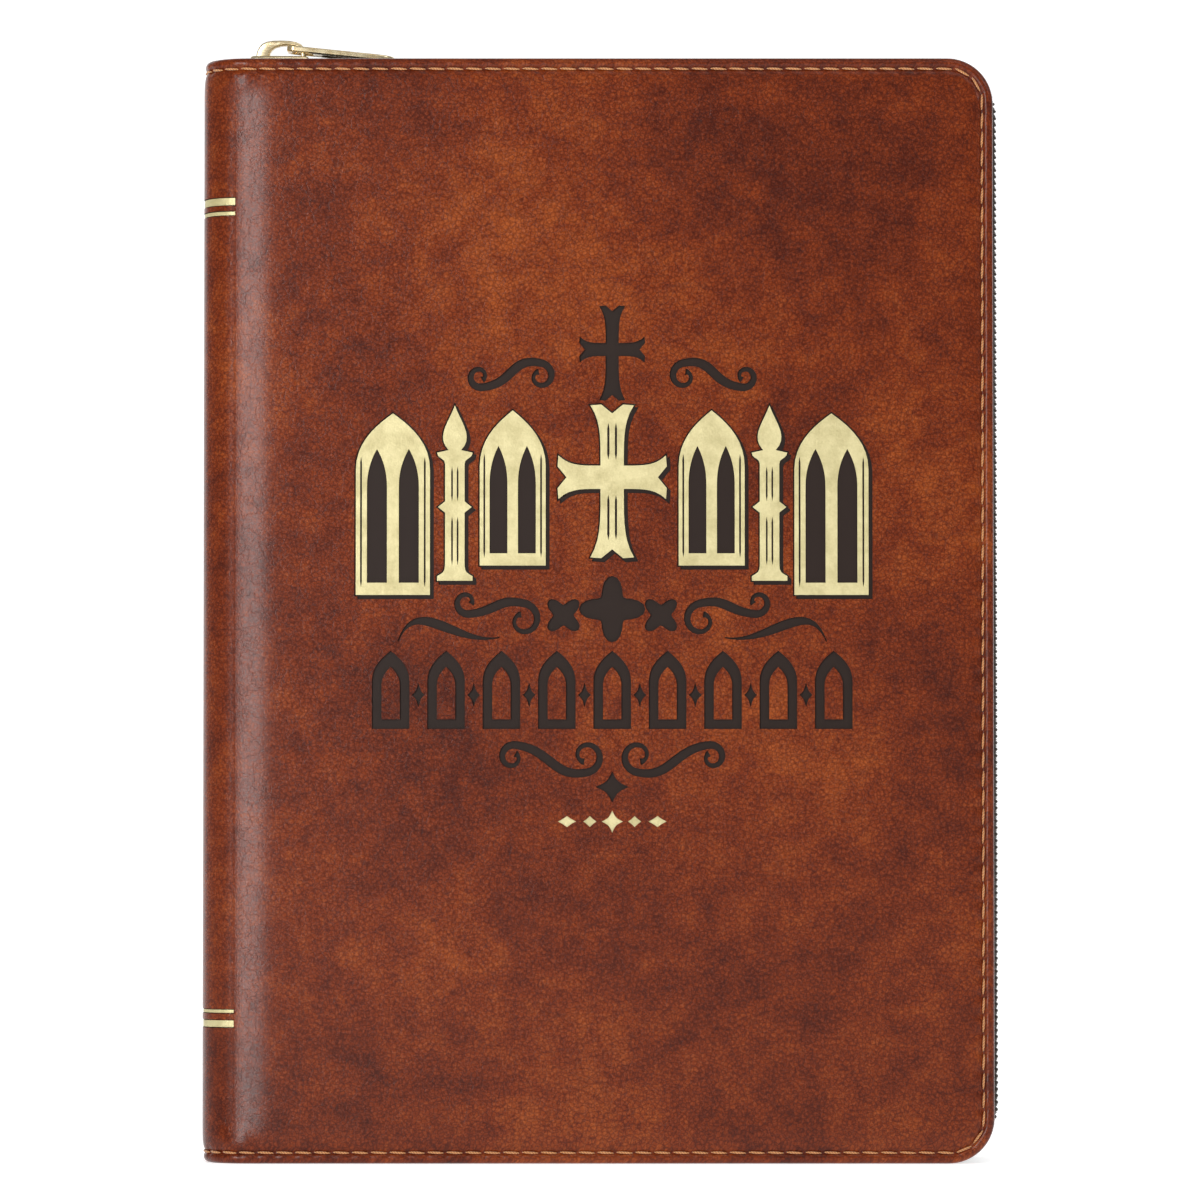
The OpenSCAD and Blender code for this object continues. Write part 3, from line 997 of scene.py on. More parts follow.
def grown(outline, distance):
    """The outline pushed outwards along its own normals by a distance."""
    outline = tidy(outline)
    area = sum(a[0] * b[1] - b[0] * a[1] for a, b in zip(outline, outline[1:] + outline[:1]))
    outward = 1 if area > 0 else -1
    result = []
    for i, place in enumerate(outline):
        here = Vector(place)
        first = here - Vector(outline[i - 1])
        second = Vector(outline[(i + 1) % len(outline)]) - here
        if first.length < 1e-6 or second.length < 1e-6:
            continue
        normal_a = Vector((first.y, -first.x)).normalized() * outward
        normal_b = Vector((second.y, -second.x)).normalized() * outward
        normal = normal_a + normal_b
        if normal.length < 0.5:
            normal = normal_a
        normal.normalize()
        result.append(tuple(here + normal * (distance / max(0.45, normal.dot(normal_a)))))
    return result


# %% [markdown]
# A hot stamp sinks the design into the flat leather. A boolean cut does the same here: each
# solid is taken out of the sheet, and the walls and floor that it leaves are inked. Moving
# the vertices of the sheet down instead would need a very fine mesh to keep the edges crisp.

# %% Stamp
DEBOSS = 0.32
CUT_TOP = -1.5


def stamp(sheet, name, outlines, holes, shift=(0, 0), sink=DEBOSS):
    """Cuts the outlines into the flat sheet. The floor and walls of the cut are inked."""
    bm = outline_prisms(name, outlines, holes, CUT_TOP, sink, shift=shift, index=1)
    cutter = make_piece(name, bm, leather, ink)
    step = sheet.modifiers.new(name, "BOOLEAN")
    step.operation = "DIFFERENCE"
    step.solver = "EXACT"
    step.material_mode = "INDEX"
    step.object = cutter
    cut_mesh = mesh_copy(sheet)
    sheet.modifiers.clear()
    old = sheet.data
    sheet.data = cut_mesh
    bpy.data.meshes.remove(old)
    drop(cutter)
    print(name, "leaves", len(sheet.data.polygons), "faces")


# %% [markdown]
# After the stamping the sheet is folded. The padding stops short of the joint, so the
# leather first sinks a little over the shoulder, which widens the shine there.

# %% Settle and fold
SETTLE = 0.8 * MM
SETTLE_PLACE = FACE_U - 2.0 * MM
SETTLE_REACH = 4.2 * MM


def settle(vert):
    """Sinks the face of the leather over the shoulder, but not at its sewn edge."""
    along, depth, height = vert.co
    inset = edge_place(along, height)[0]
    share = min(1.0, max(0.0, (inset / MM - 3.5) / 5.5))
    if depth < 0.75 * MM:
        dip = math.exp(-((along - SETTLE_PLACE) / SETTLE_REACH) ** 2)
        vert.co.y += SETTLE * dip * share * share * (3 - 2 * share)


def fold_mesh(bm, side):
    for vert in bm.verts:
        settle(vert)
        vert.co = fold(vert.co, side)
    if side > 0:
        bmesh.ops.reverse_faces(bm, faces=bm.faces)


def fold_piece(piece, side):
    bm = bmesh.new()
    bm.from_mesh(piece.data)
    fold_mesh(bm, side)
    bm.to_mesh(piece.data)
    bm.free()
    piece.data.update()


def smooth_leather(piece):
    piece.data.shade_smooth()
    piece.data.set_sharp_from_angle(angle=math.radians(50))


# %% [markdown]
# The front is stamped five times: the dark work, the small rule, the gold work's bed, its
# shadow a little to the right and down, and the bed of the spine's gold lines. The back has
# only the spine's lines.

# %% Front and back wrap
SHADOW = (0.55, -0.6)
BAND_END = 21.2 * MM
BAND_LINES = [(188.9, 190.3), (186.9, 187.6), (29.6, 30.2), (26.8, 28.1)]
BAND_SINK = 0.12
BED = 0.16


def band_outlines(grow=0.0):
    """The spine's gold lines as outlines measured from the middle of the design panel."""
    start, end, middle_z = -DESIGN_U / MM - 1, (BAND_END - DESIGN_U) / MM + grow, DESIGN_Z / MM
    return [[(start, low - middle_z - grow), (end, low - middle_z - grow),
             (end, high - middle_z + grow), (start, high - middle_z + grow)] for low, high in BAND_LINES]


front_wrap = make_piece("front_leather_wrap", wrap_half(), leather, ink, sharp=50)
stamp(front_wrap, "dark_stamp", dark_outlines() + arch_shapes, arch_holes)
stamp(front_wrap, "rule_stamp", rule_shapes, [])
stamp(front_wrap, "gold_stamp", [grown(o, 0.28) for o in gold_shapes], [])
stamp(front_wrap, "shadow_stamp", [grown(o, 0.22) for o in gold_shapes], [], shift=SHADOW)
stamp(front_wrap, "band_stamp", band_outlines(BED), [], sink=BAND_SINK)
fold_piece(front_wrap, -1)
smooth_leather(front_wrap)
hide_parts("front_leather", "spine_leather")

back_wrap = make_piece("back_leather_wrap", wrap_half(shift=(0.31, 0.17)), leather, ink, sharp=50)
stamp(back_wrap, "band_stamp", band_outlines(BED), [], sink=BAND_SINK)
fold_piece(back_wrap, 1)
smooth_leather(back_wrap)
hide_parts("back_leather", "spine_leather")

# %% [markdown]
# On the real book the wrap stays whole when a cover opens. Here each half keeps the place
# it was folded to, baked into its mesh, and is tied neither to the block nor to a cover.


def bend_with_cover(piece):
    """Bakes the piece's place into its mesh; the piece is tied neither to the block nor to a cover."""
    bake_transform(piece)


bend_with_cover(front_wrap)
bend_with_cover(back_wrap)

# %% [markdown]
# The foil lies in the beds that the stamps left, with its engraved lines left open. It is a
# piece of its own, not a painted patch, so that its edges stay crisp and catch the light.

# %% Gold foil on the front
FOIL_FACE = -0.06
FOIL_GAP = 0.02


def add_foil(name, outlines, lines):
    piece = make_piece(name, outline_prisms(name, outlines, lines, FOIL_FACE, DEBOSS - FOIL_GAP), foil)
    fold_piece(piece, -1)
    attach(piece, "front_cover")


add_foil("front_gold_design", gold_shapes, gold_lines)
add_foil("front_gold_rule", rule_shapes, [])

# %% [markdown]
# One stitch is a small sphere pulled long and bent down at both ends, where it dives into
# its holes. It is copied along the row while the sheet is flat and folded with it, slightly
# turned each time, as a lockstitch slants.

# %% Stitches
STITCH_L, STITCH_T, STITCH_W = 1.62, 0.25, 0.24
STITCH_DIVE = 0.30
STITCH_DEPTH = 0.20 * MM
STITCH_SLANT = 0.06


def stitch_mesh():
    """One stitch: a short thread that dives into a hole at each end."""
    bm = bmesh.new()
    bmesh.ops.create_uvsphere(bm, u_segments=8, v_segments=7, radius=1,
                              matrix=Matrix.Rotation(math.pi / 2, 4, "Y"))
    for vert in bm.verts:
        share = abs(vert.co.x)
        vert.co.x = math.copysign(share ** 0.8, vert.co.x) * STITCH_L * MM
        vert.co.y = vert.co.y * STITCH_T * MM + STITCH_DIVE * share ** 3 * MM
        vert.co.z *= STITCH_W * MM
    map_faces(bm, lambda co, normal: (co.x, co.z))
    mesh = bpy.data.meshes.new("stitch")
    bm.to_mesh(mesh)
    bm.free()
    return mesh


def stitch_row(name, side, cover, *nodes):
    template = stitch_mesh()
    places = []
    for i in range(STITCHES):
        along, height, turn = row_place((i + 0.5) * PITCH)
        places.append(Matrix.Translation((along, STITCH_DEPTH, height)) @
                      Matrix.Rotation(-turn + STITCH_SLANT, 4, "Y"))
    bm = bmesh.new()
    repeat(bm, template, places)
    bpy.data.meshes.remove(template)
    piece = make_piece(name, bm, cover_thread, sharp=180)
    fold_piece(piece, side)
    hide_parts(*nodes)
    bend_with_cover(piece)


stitch_row("front_stitches", -1, "front_cover", "front_stitching", "spine_stitching")
stitch_row("back_stitches", 1, "back_cover", "back_stitching", "spine_stitching")

# %% [markdown]
# # The spine's gold bands
#
# Two pairs of gold lines cross the spine, a thick and a thin one in each. They are pressed
# with a hot tool while the hide is flat, so they follow both shoulders when it is folded.

# %% Spine bands
def band_half(side):
    bm = outline_prisms("spine_band", band_outlines(), [], FOIL_FACE, BAND_SINK - FOIL_GAP)
    for along in (0, *WRAP_CUTS):
        if along < BAND_END:
            cut_at(bm, along, keep_right=along == 0)
    bmesh.ops.holes_fill(bm, edges=[e for e in bm.edges if e.is_boundary], sides=0)
    bmesh.ops.recalc_face_normals(bm, faces=bm.faces)
    fold_mesh(bm, side)
    return bm


def joined(parts):
    """One bmesh from several."""
    whole = bmesh.new()
    for part in parts:
        mesh = bpy.data.meshes.new("part")
        part.to_mesh(mesh)
        part.free()
        whole.from_mesh(mesh)
        bpy.data.meshes.remove(mesh)
    return whole


bands = joined([band_half(-1), band_half(1)])
bmesh.ops.remove_doubles(bands, verts=bands.verts, dist=0.001 * MM)
middle_faces = [f for f in bands.faces if all(abs(v.co.y) < 0.001 * MM for v in f.verts)]
bmesh.ops.delete(bands, geom=middle_faces, context="FACES")
spine_bands = make_piece("spine_gold_bands", bands, foil)
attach(spine_bands, "book_block")

# %% [markdown]
# # The zip
#
# Two woven tapes are sewn inside the covers' edges. Each carries a coil of nylon, and the
# loops of one coil stand between the loops of the other when the zip is closed. All of it
# follows one line: along the head, round two corners and back along the tail. A function
# walks that line, so tapes, cords and loops stay in step.

# %% The zip's line round the book
ZIP_STEP = 1.3 * MM
FRONT_COIL_X = -51.15 * MM
BACK_COIL_X = -67.9 * MM
TAIL_COIL_X = coil_low.x + 0.4 * MM


def zip_line(head_x, tail_x, step, stretch=True):
    """Places round the book as (x, z, turn of the outward side, run), from head to tail.
    The step is stretched to end exactly at the tail, or kept exactly."""
    straight, arc = FORE_X - CORNER, CORNER * math.pi / 2
    down = HEAD_ZIP_Z - TAIL_ZIP_Z - 2 * CORNER
    head_run = straight - head_x
    total = head_run + 2 * arc + down + straight - tail_x
    count = int(total / step)
    if stretch:
        step = total / count
    places = []
    for run in (i * step for i in range(count + 1)):
        left = run - head_run
        if left < 0:
            places.append((head_x + run, HEAD_ZIP_Z, 0.0, run))
        elif left < arc:
            turn = left / CORNER
            places.append((straight + CORNER * math.sin(turn), HEAD_ZIP_Z - CORNER + CORNER * math.cos(turn),
                           turn, run))
        elif left < arc + down:
            places.append((FORE_X, HEAD_ZIP_Z - CORNER - (left - arc), math.pi / 2, run))
        elif left < 2 * arc + down:
            turn = (left - down) / CORNER
            places.append((straight + CORNER * math.sin(turn), TAIL_ZIP_Z + CORNER + CORNER * math.cos(turn),
                           turn, run))
        else:
            places.append((straight - (left - 2 * arc - down), TAIL_ZIP_Z, math.pi, run))
    return places


print("a loop every", round(ZIP_STEP / MM, 2), "mm along the zip")

# %% [markdown]
# A tape is thin cloth with a cord in its edge and fine ribs across its width. It sags a
# little between the zip and the cover. Its section is drawn once and carried along the
# line; a flat ribbon with a bump pattern would lose the cord and the sag at the outline.

# %% Tapes
TAPE_EDGE, TAPE_INSIDE = 0.62, 16.28
TAPE_BACK = -0.60
TAPE_RIBS = 56


def tape_profile():
    """The tape's section as (outwards, distance from the zip's middle), in millimetres."""
    outer = []
    for step in range(TAPE_RIBS + 1):
        place = TAPE_INSIDE + (TAPE_EDGE - TAPE_INSIDE) * step / TAPE_RIBS
        sag = -0.22 * math.sin(math.pi * (place - TAPE_EDGE) / (TAPE_INSIDE - TAPE_EDGE)) ** 2
        rib = 0.045 * (-1) ** step
        cord = 0.20 * math.exp(-((place - 3.9) / 0.34) ** 2)
        outer.append((sag + rib + cord - 0.06, place))
    return outer + [(TAPE_BACK, TAPE_EDGE), (TAPE_BACK, TAPE_INSIDE)]


def zip_tape(name, side, cover, *nodes):
    profile = tape_profile()
    low_x = tape_low.x + 0.05 * MM
    bm = bmesh.new()
    layer = bm.loops.layers.uv.verify()
    rings, on_map = [], {}
    for x, z, turn, run in zip_line(low_x, low_x, 2.2 * MM):
        ripple = 0.05 * math.sin(run / (5.3 * MM)) * MM
        ring = []
        for out, place in profile:
            reach = out * MM + (ripple * math.sin(math.pi * place / 16.3) if out > -0.5 else 0)
            vert = bm.verts.new((x + reach * math.sin(turn), side * place * MM, z + reach * math.cos(turn)))
            on_map[vert] = (run, place * MM)
            ring.append(vert)
        rings.append(ring)
    for face in skin(bm, rings)[:-2]:
        for loop in face.loops:
            loop[layer].uv = on_map[loop.vert]
    piece = make_piece(name, bm, tape_cloth)
    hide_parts(*nodes)
    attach(piece, cover)


zip_tape("front_zip_tape", -1, "front_cover", "front_tape")
zip_tape("back_zip_tape", 1, "back_cover", "back_tape")

# %% [markdown]
# The real coil is one nylon wire wound round a cord and sewn to the tape. Here each turn is
# a ring of its own, squarish as the real ones are, and it is copied along the line. A ring
# has only 72 faces, because there are hundreds of them. The back row stands half a pitch
# later than the front row, so the two mesh.

# %% Coils
LOOP_WIRE, LOOP_ACROSS, LOOP_HIGH = 0.33, 1.62, 0.85
LOOP_TURNS, LOOP_SIDES = 12, 6


def squarish(value):
    """Pushes a sine or cosine outwards, which turns a circle into a rounded square."""
    return math.copysign(abs(value) ** 0.75, value)


def coil_loop(side):
    """One loop of the coil across the zip: X runs along the zip and Z points outwards."""
    middle_y = side * (LOOP_ACROSS - 0.16)
    bm = bmesh.new()
    rings = []
    for step in range(LOOP_TURNS):
        angle = 2 * math.pi * step / LOOP_TURNS
        centre = Vector((0.12 * math.cos(angle) * side,
                         middle_y + squarish(math.cos(angle)) * (LOOP_ACROSS - LOOP_WIRE),
                         LOOP_HIGH + squarish(math.sin(angle)) * (LOOP_HIGH - LOOP_WIRE)))
        away = Vector((0, math.cos(angle), math.sin(angle)))
        ring = []
        for turn in (2 * math.pi * n / LOOP_SIDES for n in range(LOOP_SIDES)):
            offset = math.cos(turn) * away + math.sin(turn) * Vector((1, 0, 0))
            ring.append(bm.verts.new((centre + LOOP_WIRE * offset) * MM))
        rings.append(ring)
    skin(bm, rings, closed=True)
    mesh = bpy.data.meshes.new("coil_loop")
    bm.to_mesh(mesh)
    bm.free()
    return mesh


def add_cord(bm, side, head_x):
    """The cord that runs inside the loops and holds them down on the tape."""
    rings = []
    for x, z, turn, run in zip_line(head_x + 0.3 * MM, TAIL_COIL_X + 0.3 * MM, 2.0 * MM):
        ring = []
        for angle in (2 * math.pi * n / 8 for n in range(8)):
            out = (0.78 + 0.50 * math.sin(angle)) * MM
            ring.append(bm.verts.new((x + out * math.sin(turn), side * (1.5 + 0.95 * math.cos(angle)) * MM,
                                      z + out * math.cos(turn))))
        rings.append(ring)
    skin(bm, rings)


def zip_coil(name, side, cover, node, head_x):
    template = coil_loop(side)
    places = [Matrix.Translation((x, 0, z)) @ Matrix.Rotation(turn, 4, "Y")
              for x, z, turn, run in zip_line(head_x, TAIL_COIL_X, ZIP_STEP, stretch=False)]
    bm = bmesh.new()
    repeat(bm, template, places)
    bpy.data.meshes.remove(template)
    add_cord(bm, side, head_x)
    piece = make_piece(name, bm, nylon, sharp=180)
    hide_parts(node)
    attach(piece, cover)
    print(name, "has", len(places), "loops")


back_loops = int((FRONT_COIL_X - BACK_COIL_X) / ZIP_STEP)
zip_coil("front_coil_loops", -1, "front_cover", "front_coil", FRONT_COIL_X)
zip_coil("back_coil_loops", 1, "back_cover", "back_coil", FRONT_COIL_X - (back_loops + 0.5) * ZIP_STEP)


# %% [markdown]
# # Metal parts
#
# The slider, its bridge, the pull and the stop are die-cast brass: plates with rounded
# edges. An outline filled as a curve with a round bevel gives that shape in one step, and
# holes in it get the same round edge.

# %% Plates with rounded edges
def rounded(corners, steps=6):
    """An outline through corners given as (x, z, radius)."""
    outline = []
    for i, (x, z, radius) in enumerate(corners):
        here, before = Vector((x, z)), Vector(corners[i - 1][:2])
        after = Vector(corners[(i + 1) % len(corners)][:2])
        start = here + (before - here).normalized() * radius
        end = here + (after - here).normalized() * radius
        if radius == 0:
            outline.append((x, z))
        else:
            outline += curve_points(start, start.lerp(here, 0.552), end.lerp(here, 0.552), end, steps)
    return outline


def block(x0, x1, z0, z1, radius, steps=6):
    return rounded([(x0, z0, radius), (x1, z0, radius), (x1, z1, radius), (x0, z1, radius)], steps)


def plate(outline, thickness, bevel, place, holes=(), steps=2):
    """A flat part cut from the outline, in millimetres, with rounded edges, put in its place."""
    bm = filled("plate", [outline, *holes], thickness, bevel, steps)
    bmesh.ops.remove_doubles(bm, verts=bm.verts, dist=0.002)
    bmesh.ops.recalc_face_normals(bm, faces=bm.faces)
    bmesh.ops.transform(bm, matrix=place @ Matrix.Scale(MM, 4), verts=bm.verts)
    return bm


def lying(x, y, z):
    """Places a plate drawn in X and Y so that it lies flat at a height, in millimetres."""
    return Matrix.Translation((x * MM, y * MM, z * MM))


def standing(x, y, z):
    """Places a plate drawn in X and Z so that it stands across the book's thickness."""
    return lying(x, y, z) @ Matrix.Rotation(math.pi / 2, 4, "X")


# %% [markdown]
# The slider is two plates, one over the coils and one under them. The upper one has a flange
# down each side that keeps the coils together. It is made of rings from nose to tail, because
# its width, its top and its flanges all change on the way. The post between the plates is
# hidden by them and is left out.

# %% Slider
slider_low, slider_high = section_of("slider_body")
bridge_low, bridge_high = section_of("slider_bridge")
UPPER_UNDER = slider_high.z - 0.9
FLANGE_FOOT = HEAD_ZIP_Z / MM + 0.35
FLANGE_IN = 3.6
# Each ring of the slider's hood is (distance from its nose, half width, drop of its top).
HOOD = [(0.0, 3.9, 0.50), (0.12, 4.25, 0.24), (0.35, 4.5, 0.08), (0.8, 4.72, 0.0), (1.8, 4.8, 0.0),
        (3.4, 4.8, 0.0), (6.0, 4.66, 0.0), (8.6, 4.48, 0.0), (10.6, 4.34, 0.0), (11.3, 4.22, 0.08),
        (11.62, 4.06, 0.24), (11.8, 3.85, 0.50)]


def hood_ring(half, drop_by):
    """The hood's section: a plate with a flange down each side, as (y, z)."""
    top = slider_high.z - drop_by
    outer = [(half - 0.12, FLANGE_FOOT), (half, FLANGE_FOOT + 0.18), (half, top - 0.75)]
    outer += curve_points((half, top - 0.75), (half, top - 0.3), (half - 0.35, top), (half - 0.8, top), 5)[1:]
    outer += [(1.6, top), (0.0, top)]
    inside = [(0.0, UPPER_UNDER), (FLANGE_IN - 0.4, UPPER_UNDER), (FLANGE_IN, UPPER_UNDER - 0.4),
              (FLANGE_IN, FLANGE_FOOT + 0.15), (FLANGE_IN + 0.1, FLANGE_FOOT)]
    return outer + mirror_x(outer[:-1]) + [(-y, z) for y, z in reversed(inside)] + inside[1:]


def slider_hood():
    bm = bmesh.new()
    rings = []
    for along, half_width, drop_by in HOOD:
        rings.append([bm.verts.new(((slider_low.x + along) * MM, y * MM, z * MM))
                      for y, z in hood_ring(half_width, drop_by)])
    skin(bm, rings)
    return bm


lower_plate = plate(block(slider_low.x, slider_high.x, slider_low.y, slider_high.y, 1.6), 0.9, 0.22,
                    lying(0, 0, slider_low.z + 0.45))
slider = make_piece("slider_hood_and_plate", joined([slider_hood(), lower_plate]), brass, sharp=32)
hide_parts("slider_body")
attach(slider, "zip_slider")

# %% [markdown]
# The bridge is a thin arch that stands over the slider and holds the pull. Its outline is
# drawn as seen from the front and given the bridge's own width.

# %% Bridge over the slider
# The arch seen from the front, from the foot at the spine's end, in millimetres.
ARCH_OUTSIDE = [(0, -0.1), (0.06, 0.6), (0.24, 1.3), (0.6, 2.05), (1.2, 2.72), (2.2, 3.18), (3.4, 3.36),
                (4.9, 3.4), (6.6, 3.34), (8.0, 3.08), (9.0, 2.62), (9.6, 1.95), (9.86, 1.1), (9.9, -0.1)]
ARCH_INSIDE = [(8.95, -0.1), (8.93, 0.8), (8.7, 1.5), (8.2, 2.0), (7.3, 2.3), (6.1, 2.4), (4.9, 2.32),
               (3.9, 2.02), (3.15, 1.5), (2.75, 0.8), (2.62, -0.1)]
bridge_width = bridge_high.y - bridge_low.y
arch = plate(move(ARCH_OUTSIDE + ARCH_INSIDE, bridge_low.x, bridge_low.z), bridge_width, 0.34,
             standing(0, 0, 0), steps=3)
bridge = make_piece("slider_arch", arch, brass, sharp=50)
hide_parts("slider_bridge")
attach(bridge, "zip_slider")

# %% [markdown]
# The pull is a long plate with an eye for the bridge and a sunk panel. The rim is cut from
# one plate with two holes, and a thinner plate fills the second hole. It rests at a slight
# slope, turned about the bridge.

# %% Pull
PIVOT = Vector((slider_low.x + 7.8, 0, slider_high.z + 1.65))
PULL_SLOPE = math.radians(5.9)
PULL_L, PULL_W, PULL_T = 21.0, 6.4, 1.2
pull_place = Matrix.Translation(PIVOT * MM) @ Matrix.Rotation(PULL_SLOPE, 4, "Y")
half_w = PULL_W / 2
pull_edge = rounded([(-0.52, -half_w, 1.5), (5.6, -half_w + 0.12, 0.6), (PULL_L, -half_w, half_w - 0.1),
                     (PULL_L, half_w, half_w - 0.1), (5.6, half_w - 0.12, 0.6), (-0.52, half_w, 1.5)], 10)
eye = block(0.5, 4.7, -half_w + 1.25, half_w - 1.25, 0.9)
panel = block(6.6, PULL_L - 1.3, -half_w + 1.1, half_w - 1.1, 1.6, 8)
sunk = block(6.2, PULL_L - 0.9, -half_w + 0.7, half_w - 0.7, 1.6, 8)
pull = make_piece("pull_plate", joined([plate(pull_edge, PULL_T, 0.3, pull_place, holes=[eye, panel], steps=3),
                                        plate(sunk, 0.7, 0.1, pull_place)]), brass, sharp=50)
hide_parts("pull_tab")
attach(pull, "zip_pull")

# %% [markdown]
# A small clamp of brass stops the slider at the tail. Two ridges are pressed into it.

# %% Stop at the tail end
stop_low, stop_high = section_of("bottom_stop")
stop_middle = (stop_low + stop_high) / 2
stop_body = plate(block(stop_low.x, stop_high.x, stop_low.y, stop_high.y, 0.6), stop_high.z - stop_low.z, 0.3,
                  lying(0, 0, stop_middle.z), steps=3)
ridges = [plate(block(x - 0.35, x + 0.35, stop_low.y + 0.4, stop_high.y - 0.4, 0.3), 0.5, 0.2,
                lying(0, 0, stop_low.z + 0.1)) for x in (stop_middle.x - 0.75, stop_middle.x + 0.75)]
stop = make_piece("zip_stop", joined([stop_body, *ridges]), brass, sharp=50)
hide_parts("bottom_stop")
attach(stop, "book_block")

# %% [markdown]
# A leather tab covers the raw ends of the tapes at head and tail. Four short stitches hold
# it. They are small plates with round edges that stand just above the leather.

# %% Leather tabs over the zip's ends
TAB_STITCHES = (-3.6, -1.2, 1.2, 3.6)


def end_tab(name, node, outward):
    low, high = section_of(node)
    outline = rounded([(low.x, low.y, 0.3), (high.x, low.y, 1.6), (high.x, high.y, 1.6), (low.x, high.y, 0.3)])
    tab = plate(outline, high.z - low.z, 0.2, lying(0, 0, (low.z + high.z) / 2))
    top = (high.z if outward > 0 else low.z) + 0.02 * outward
    threads = [plate(block(high.x - 1.3, high.x - 0.9, y - 0.95, y + 0.95, 0.19, 3), 0.3, 0.12,
                     lying(0, 0, top)) for y in TAB_STITCHES]
    for thread in threads:
        for face in thread.faces:
            face.material_index = 1
    piece = make_piece(name, joined([tab, *threads]), leather_small, thread_small)
    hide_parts(node)
    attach(piece, "book_block")


end_tab("head_leather_tab", "head_end_tab", 1)
end_tab("tail_leather_tab", "tail_end_tab", -1)

# %% [markdown]
# # The text block
#
# Many thin leaves are sewn in sections, glued at the spine and gilded on three edges. Only
# the edges of the leaves show, so a section here is one solid with a fine step from each
# bundle of leaves to the next. The sections that would turn are cut into narrow strips near
# the spine and stay where they are.

# %% Sections
PAGE_R = 5.0
BUNDLE = 0.46
BUNDLE_STEP = 0.07
GUTTER_START, GUTTER_END = -73.4 * MM, -60 * MM
SPINE_END = leaf_low.x / MM + 0.02
draw = random.Random(7)


def page_ring(x0, x1, z0, z1, inset):
    return rounded([(x0, z0 + inset, 0), (x1 - inset, z0 + inset, PAGE_R), (x1 - inset, z1 - inset, PAGE_R),
                    (x0, z1 - inset, 0)], 8)


def leaves(name, body, side, node):
    """A node's stack of leaves: each bundle has its own random inset and rounded edges."""
    low, high = section_of(node)
    start, end = sorted((abs(low.y), abs(high.y)))
    count = max(1, round((end - start) / BUNDLE))
    thick = (end - start) / count
    levels = []
    for i in range(count):
        inset = draw.uniform(0.0, 0.09)
        levels += [(start + i * thick, inset + BUNDLE_STEP), (start + (i + 0.22) * thick, inset),
                   (start + (i + 0.78) * thick, inset)]
    levels.append((end, levels[-1][1] + BUNDLE_STEP))
    bm = bmesh.new()
    skin(bm, [[bm.verts.new((x * MM, side * y * MM, z * MM))
               for x, z in page_ring(SPINE_END, high.x, low.z, high.z, inset)] for y, inset in levels])
    if body != "book_block":
        cut_stretch(bm, GUTTER_START, GUTTER_END)
    bmesh.ops.recalc_face_normals(bm, faces=bm.faces)
    map_faces(bm, lambda co, normal: (co.x, co.z) if abs(normal.y) > 0.7 else (co.x + co.z, co.y))
    for face in bm.faces:
        flat = face.calc_area() > 20 * MM * MM and abs(face.normal.y) > 0.7
        face.material_index = 1 if flat or face.normal.x < -0.7 else 0
    piece = make_piece(name, bm, gilt_edge, paper, sharp=35)
    if body == "book_block":
        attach(piece, body)
    else:
        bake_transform(piece)
    return piece


for side, word, sections, bodies in (
        (-1, "front", (1, 2, 3), ("first_leaves", "second_leaves", "book_block")),
        (1, "back", (6, 5, 4), ("last_leaves", "next_last_leaves", "book_block"))):
    for number, body in zip(sections, bodies):
        piece = leaves(f"{word}_leaves_{number}", body, side, f"section_{number}")
        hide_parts(f"section_{number}", *([f"{word}_gutter_fold"] if body == bodies[1] else []))
    piece = leaves(f"{word}_endpaper_leaf", f"{word}_endpaper", side, f"{word}_flyleaf")
    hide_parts(f"{word}_flyleaf")

# %% [markdown]
# The skin inside a cover hides the board and the turned-in leather. It crosses the joint and
# is pasted down on the block, so it is cut into strips there. It is narrower at the joint,
# where the real one is cut back to let the cover turn.

# %% Linings
LINING_START, LINING_END = -73.2 * MM, -65.5 * MM
LINING_NOTCH = 1.6


def lining(name, node):
    low, high = section_of(node)
    outline = rounded([(SPINE_END + 0.2, low.z + LINING_NOTCH, 0), (low.x + 0.4, low.z + LINING_NOTCH, 0),
                       (low.x + 1.2, low.z, 0.6), (high.x, low.z, 8.0), (high.x, high.z, 8.0),
                       (low.x + 1.2, high.z, 0.6), (low.x + 0.4, high.z - LINING_NOTCH, 0),
                       (SPINE_END + 0.2, high.z - LINING_NOTCH, 0)], 10)
    bm = plate(outline, high.y - low.y, 0.1, standing(0, (low.y + high.y) / 2, 0), steps=1)
    cut_stretch(bm, LINING_START, LINING_END)
    map_faces(bm, lambda co, normal: (co.x, co.z))
    piece = make_piece(name, bm, lining_skin)
    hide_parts(node)
    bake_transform(piece)


lining("front_lining_skin", "front_lining")
lining("back_lining_skin", "back_lining")

# %% [markdown]
# A head band is a cord wound with silk in two colours and glued to the end of the spine, so
# it is half round. Its rings swell and shrink once for each turn of the silk, and the colour
# changes with them.

# %% Head and tail bands
SILK_PITCH = 0.98
SILK_ROUND, STEPS_PER_TURN = 9, 4


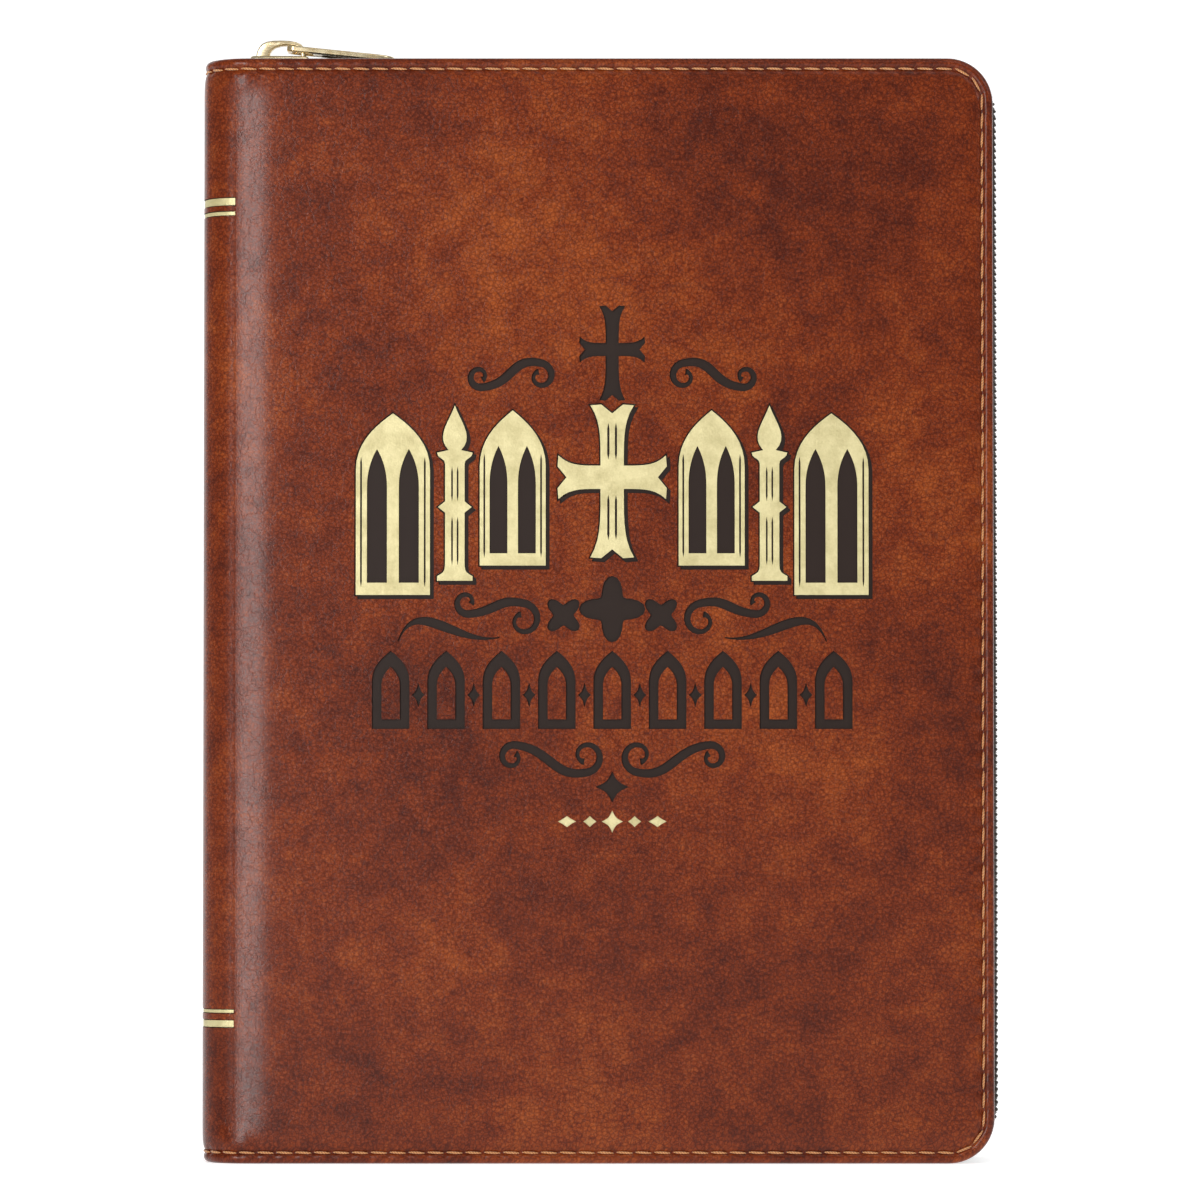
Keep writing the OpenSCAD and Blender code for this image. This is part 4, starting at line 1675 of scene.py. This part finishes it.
def end_band(name, node, outward):
    low, high = section_of(node)
    turns = round((high.y - low.y) / SILK_PITCH)
    step_y = (high.y - low.y) / turns / STEPS_PER_TURN
    base = low.z if outward > 0 else high.z
    bm = bmesh.new()
    rings = []
    for step in range(turns * STEPS_PER_TURN + 1):
        swell = 0.80 + 0.20 * abs(math.sin(math.pi * step / STEPS_PER_TURN)) ** 0.6
        radius = (high.x - low.x) / 2 * swell
        middle_x, y = (low.x + high.x) / 2, low.y + step * step_y
        ring = []
        for angle in (math.pi * n / (SILK_ROUND - 1) for n in range(SILK_ROUND)):
            place = Vector((middle_x - radius * math.cos(angle), y, base + outward * radius * math.sin(angle)))
            ring.append(bm.verts.new(place * MM))
        rings.append(ring)
    for i, face in enumerate(skin(bm, rings)[:-2]):
        face.material_index = i // (SILK_ROUND * STEPS_PER_TURN) % 2
    piece = make_piece(name, bm, ribbon_satin, mull_cloth)
    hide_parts(node)
    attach(piece, "book_block")


end_band("head_silk_band", "head_band", 1)
end_band("tail_silk_band", "tail_band", -1)

# %% [markdown]
# The ribbon is glued inside the spine and lies between two sections, pressed flat by them.
# So it needs no folds, only its width, its thin edge and the notch cut in its lower end.

# %% Ribbon
RIBBON_T, RIBBON_NOTCH = 0.26, 0.9
ribbon_low, ribbon_high = section_of("ribbon_marker")
ribbon_shape = [(ribbon_low.x, ribbon_high.z), (ribbon_low.x, ribbon_low.z),
                ((ribbon_low.x + ribbon_high.x) / 2, ribbon_low.z + RIBBON_NOTCH),
                (ribbon_high.x, ribbon_low.z), (ribbon_high.x, ribbon_high.z)]
ribbon_plate = plate(ribbon_shape, RIBBON_T, 0.05, standing(0, 0, 0), steps=1)
ribbon = make_piece("satin_ribbon", ribbon_plate, ribbon_satin)
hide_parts("ribbon_marker")
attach(ribbon, "book_block")

# %% [markdown]
# The last nodes keep their own shape, because nothing of them shows but an edge: the
# padding, the boards, and the stiffener and the mull under the spine.

# %% Finishes for the nodes that stay
def paint(node, material):
    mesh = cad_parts[node].data
    mesh.materials.clear()
    mesh.materials.append(material)


for side in ("front", "back"):
    paint(side + "_foam", foam_cloth)
    paint(side + "_board", grey_board)
paint("spine_stiffener", grey_board)
paint("spine_liner", mull_cloth)
print("six nodes keep their own shape")
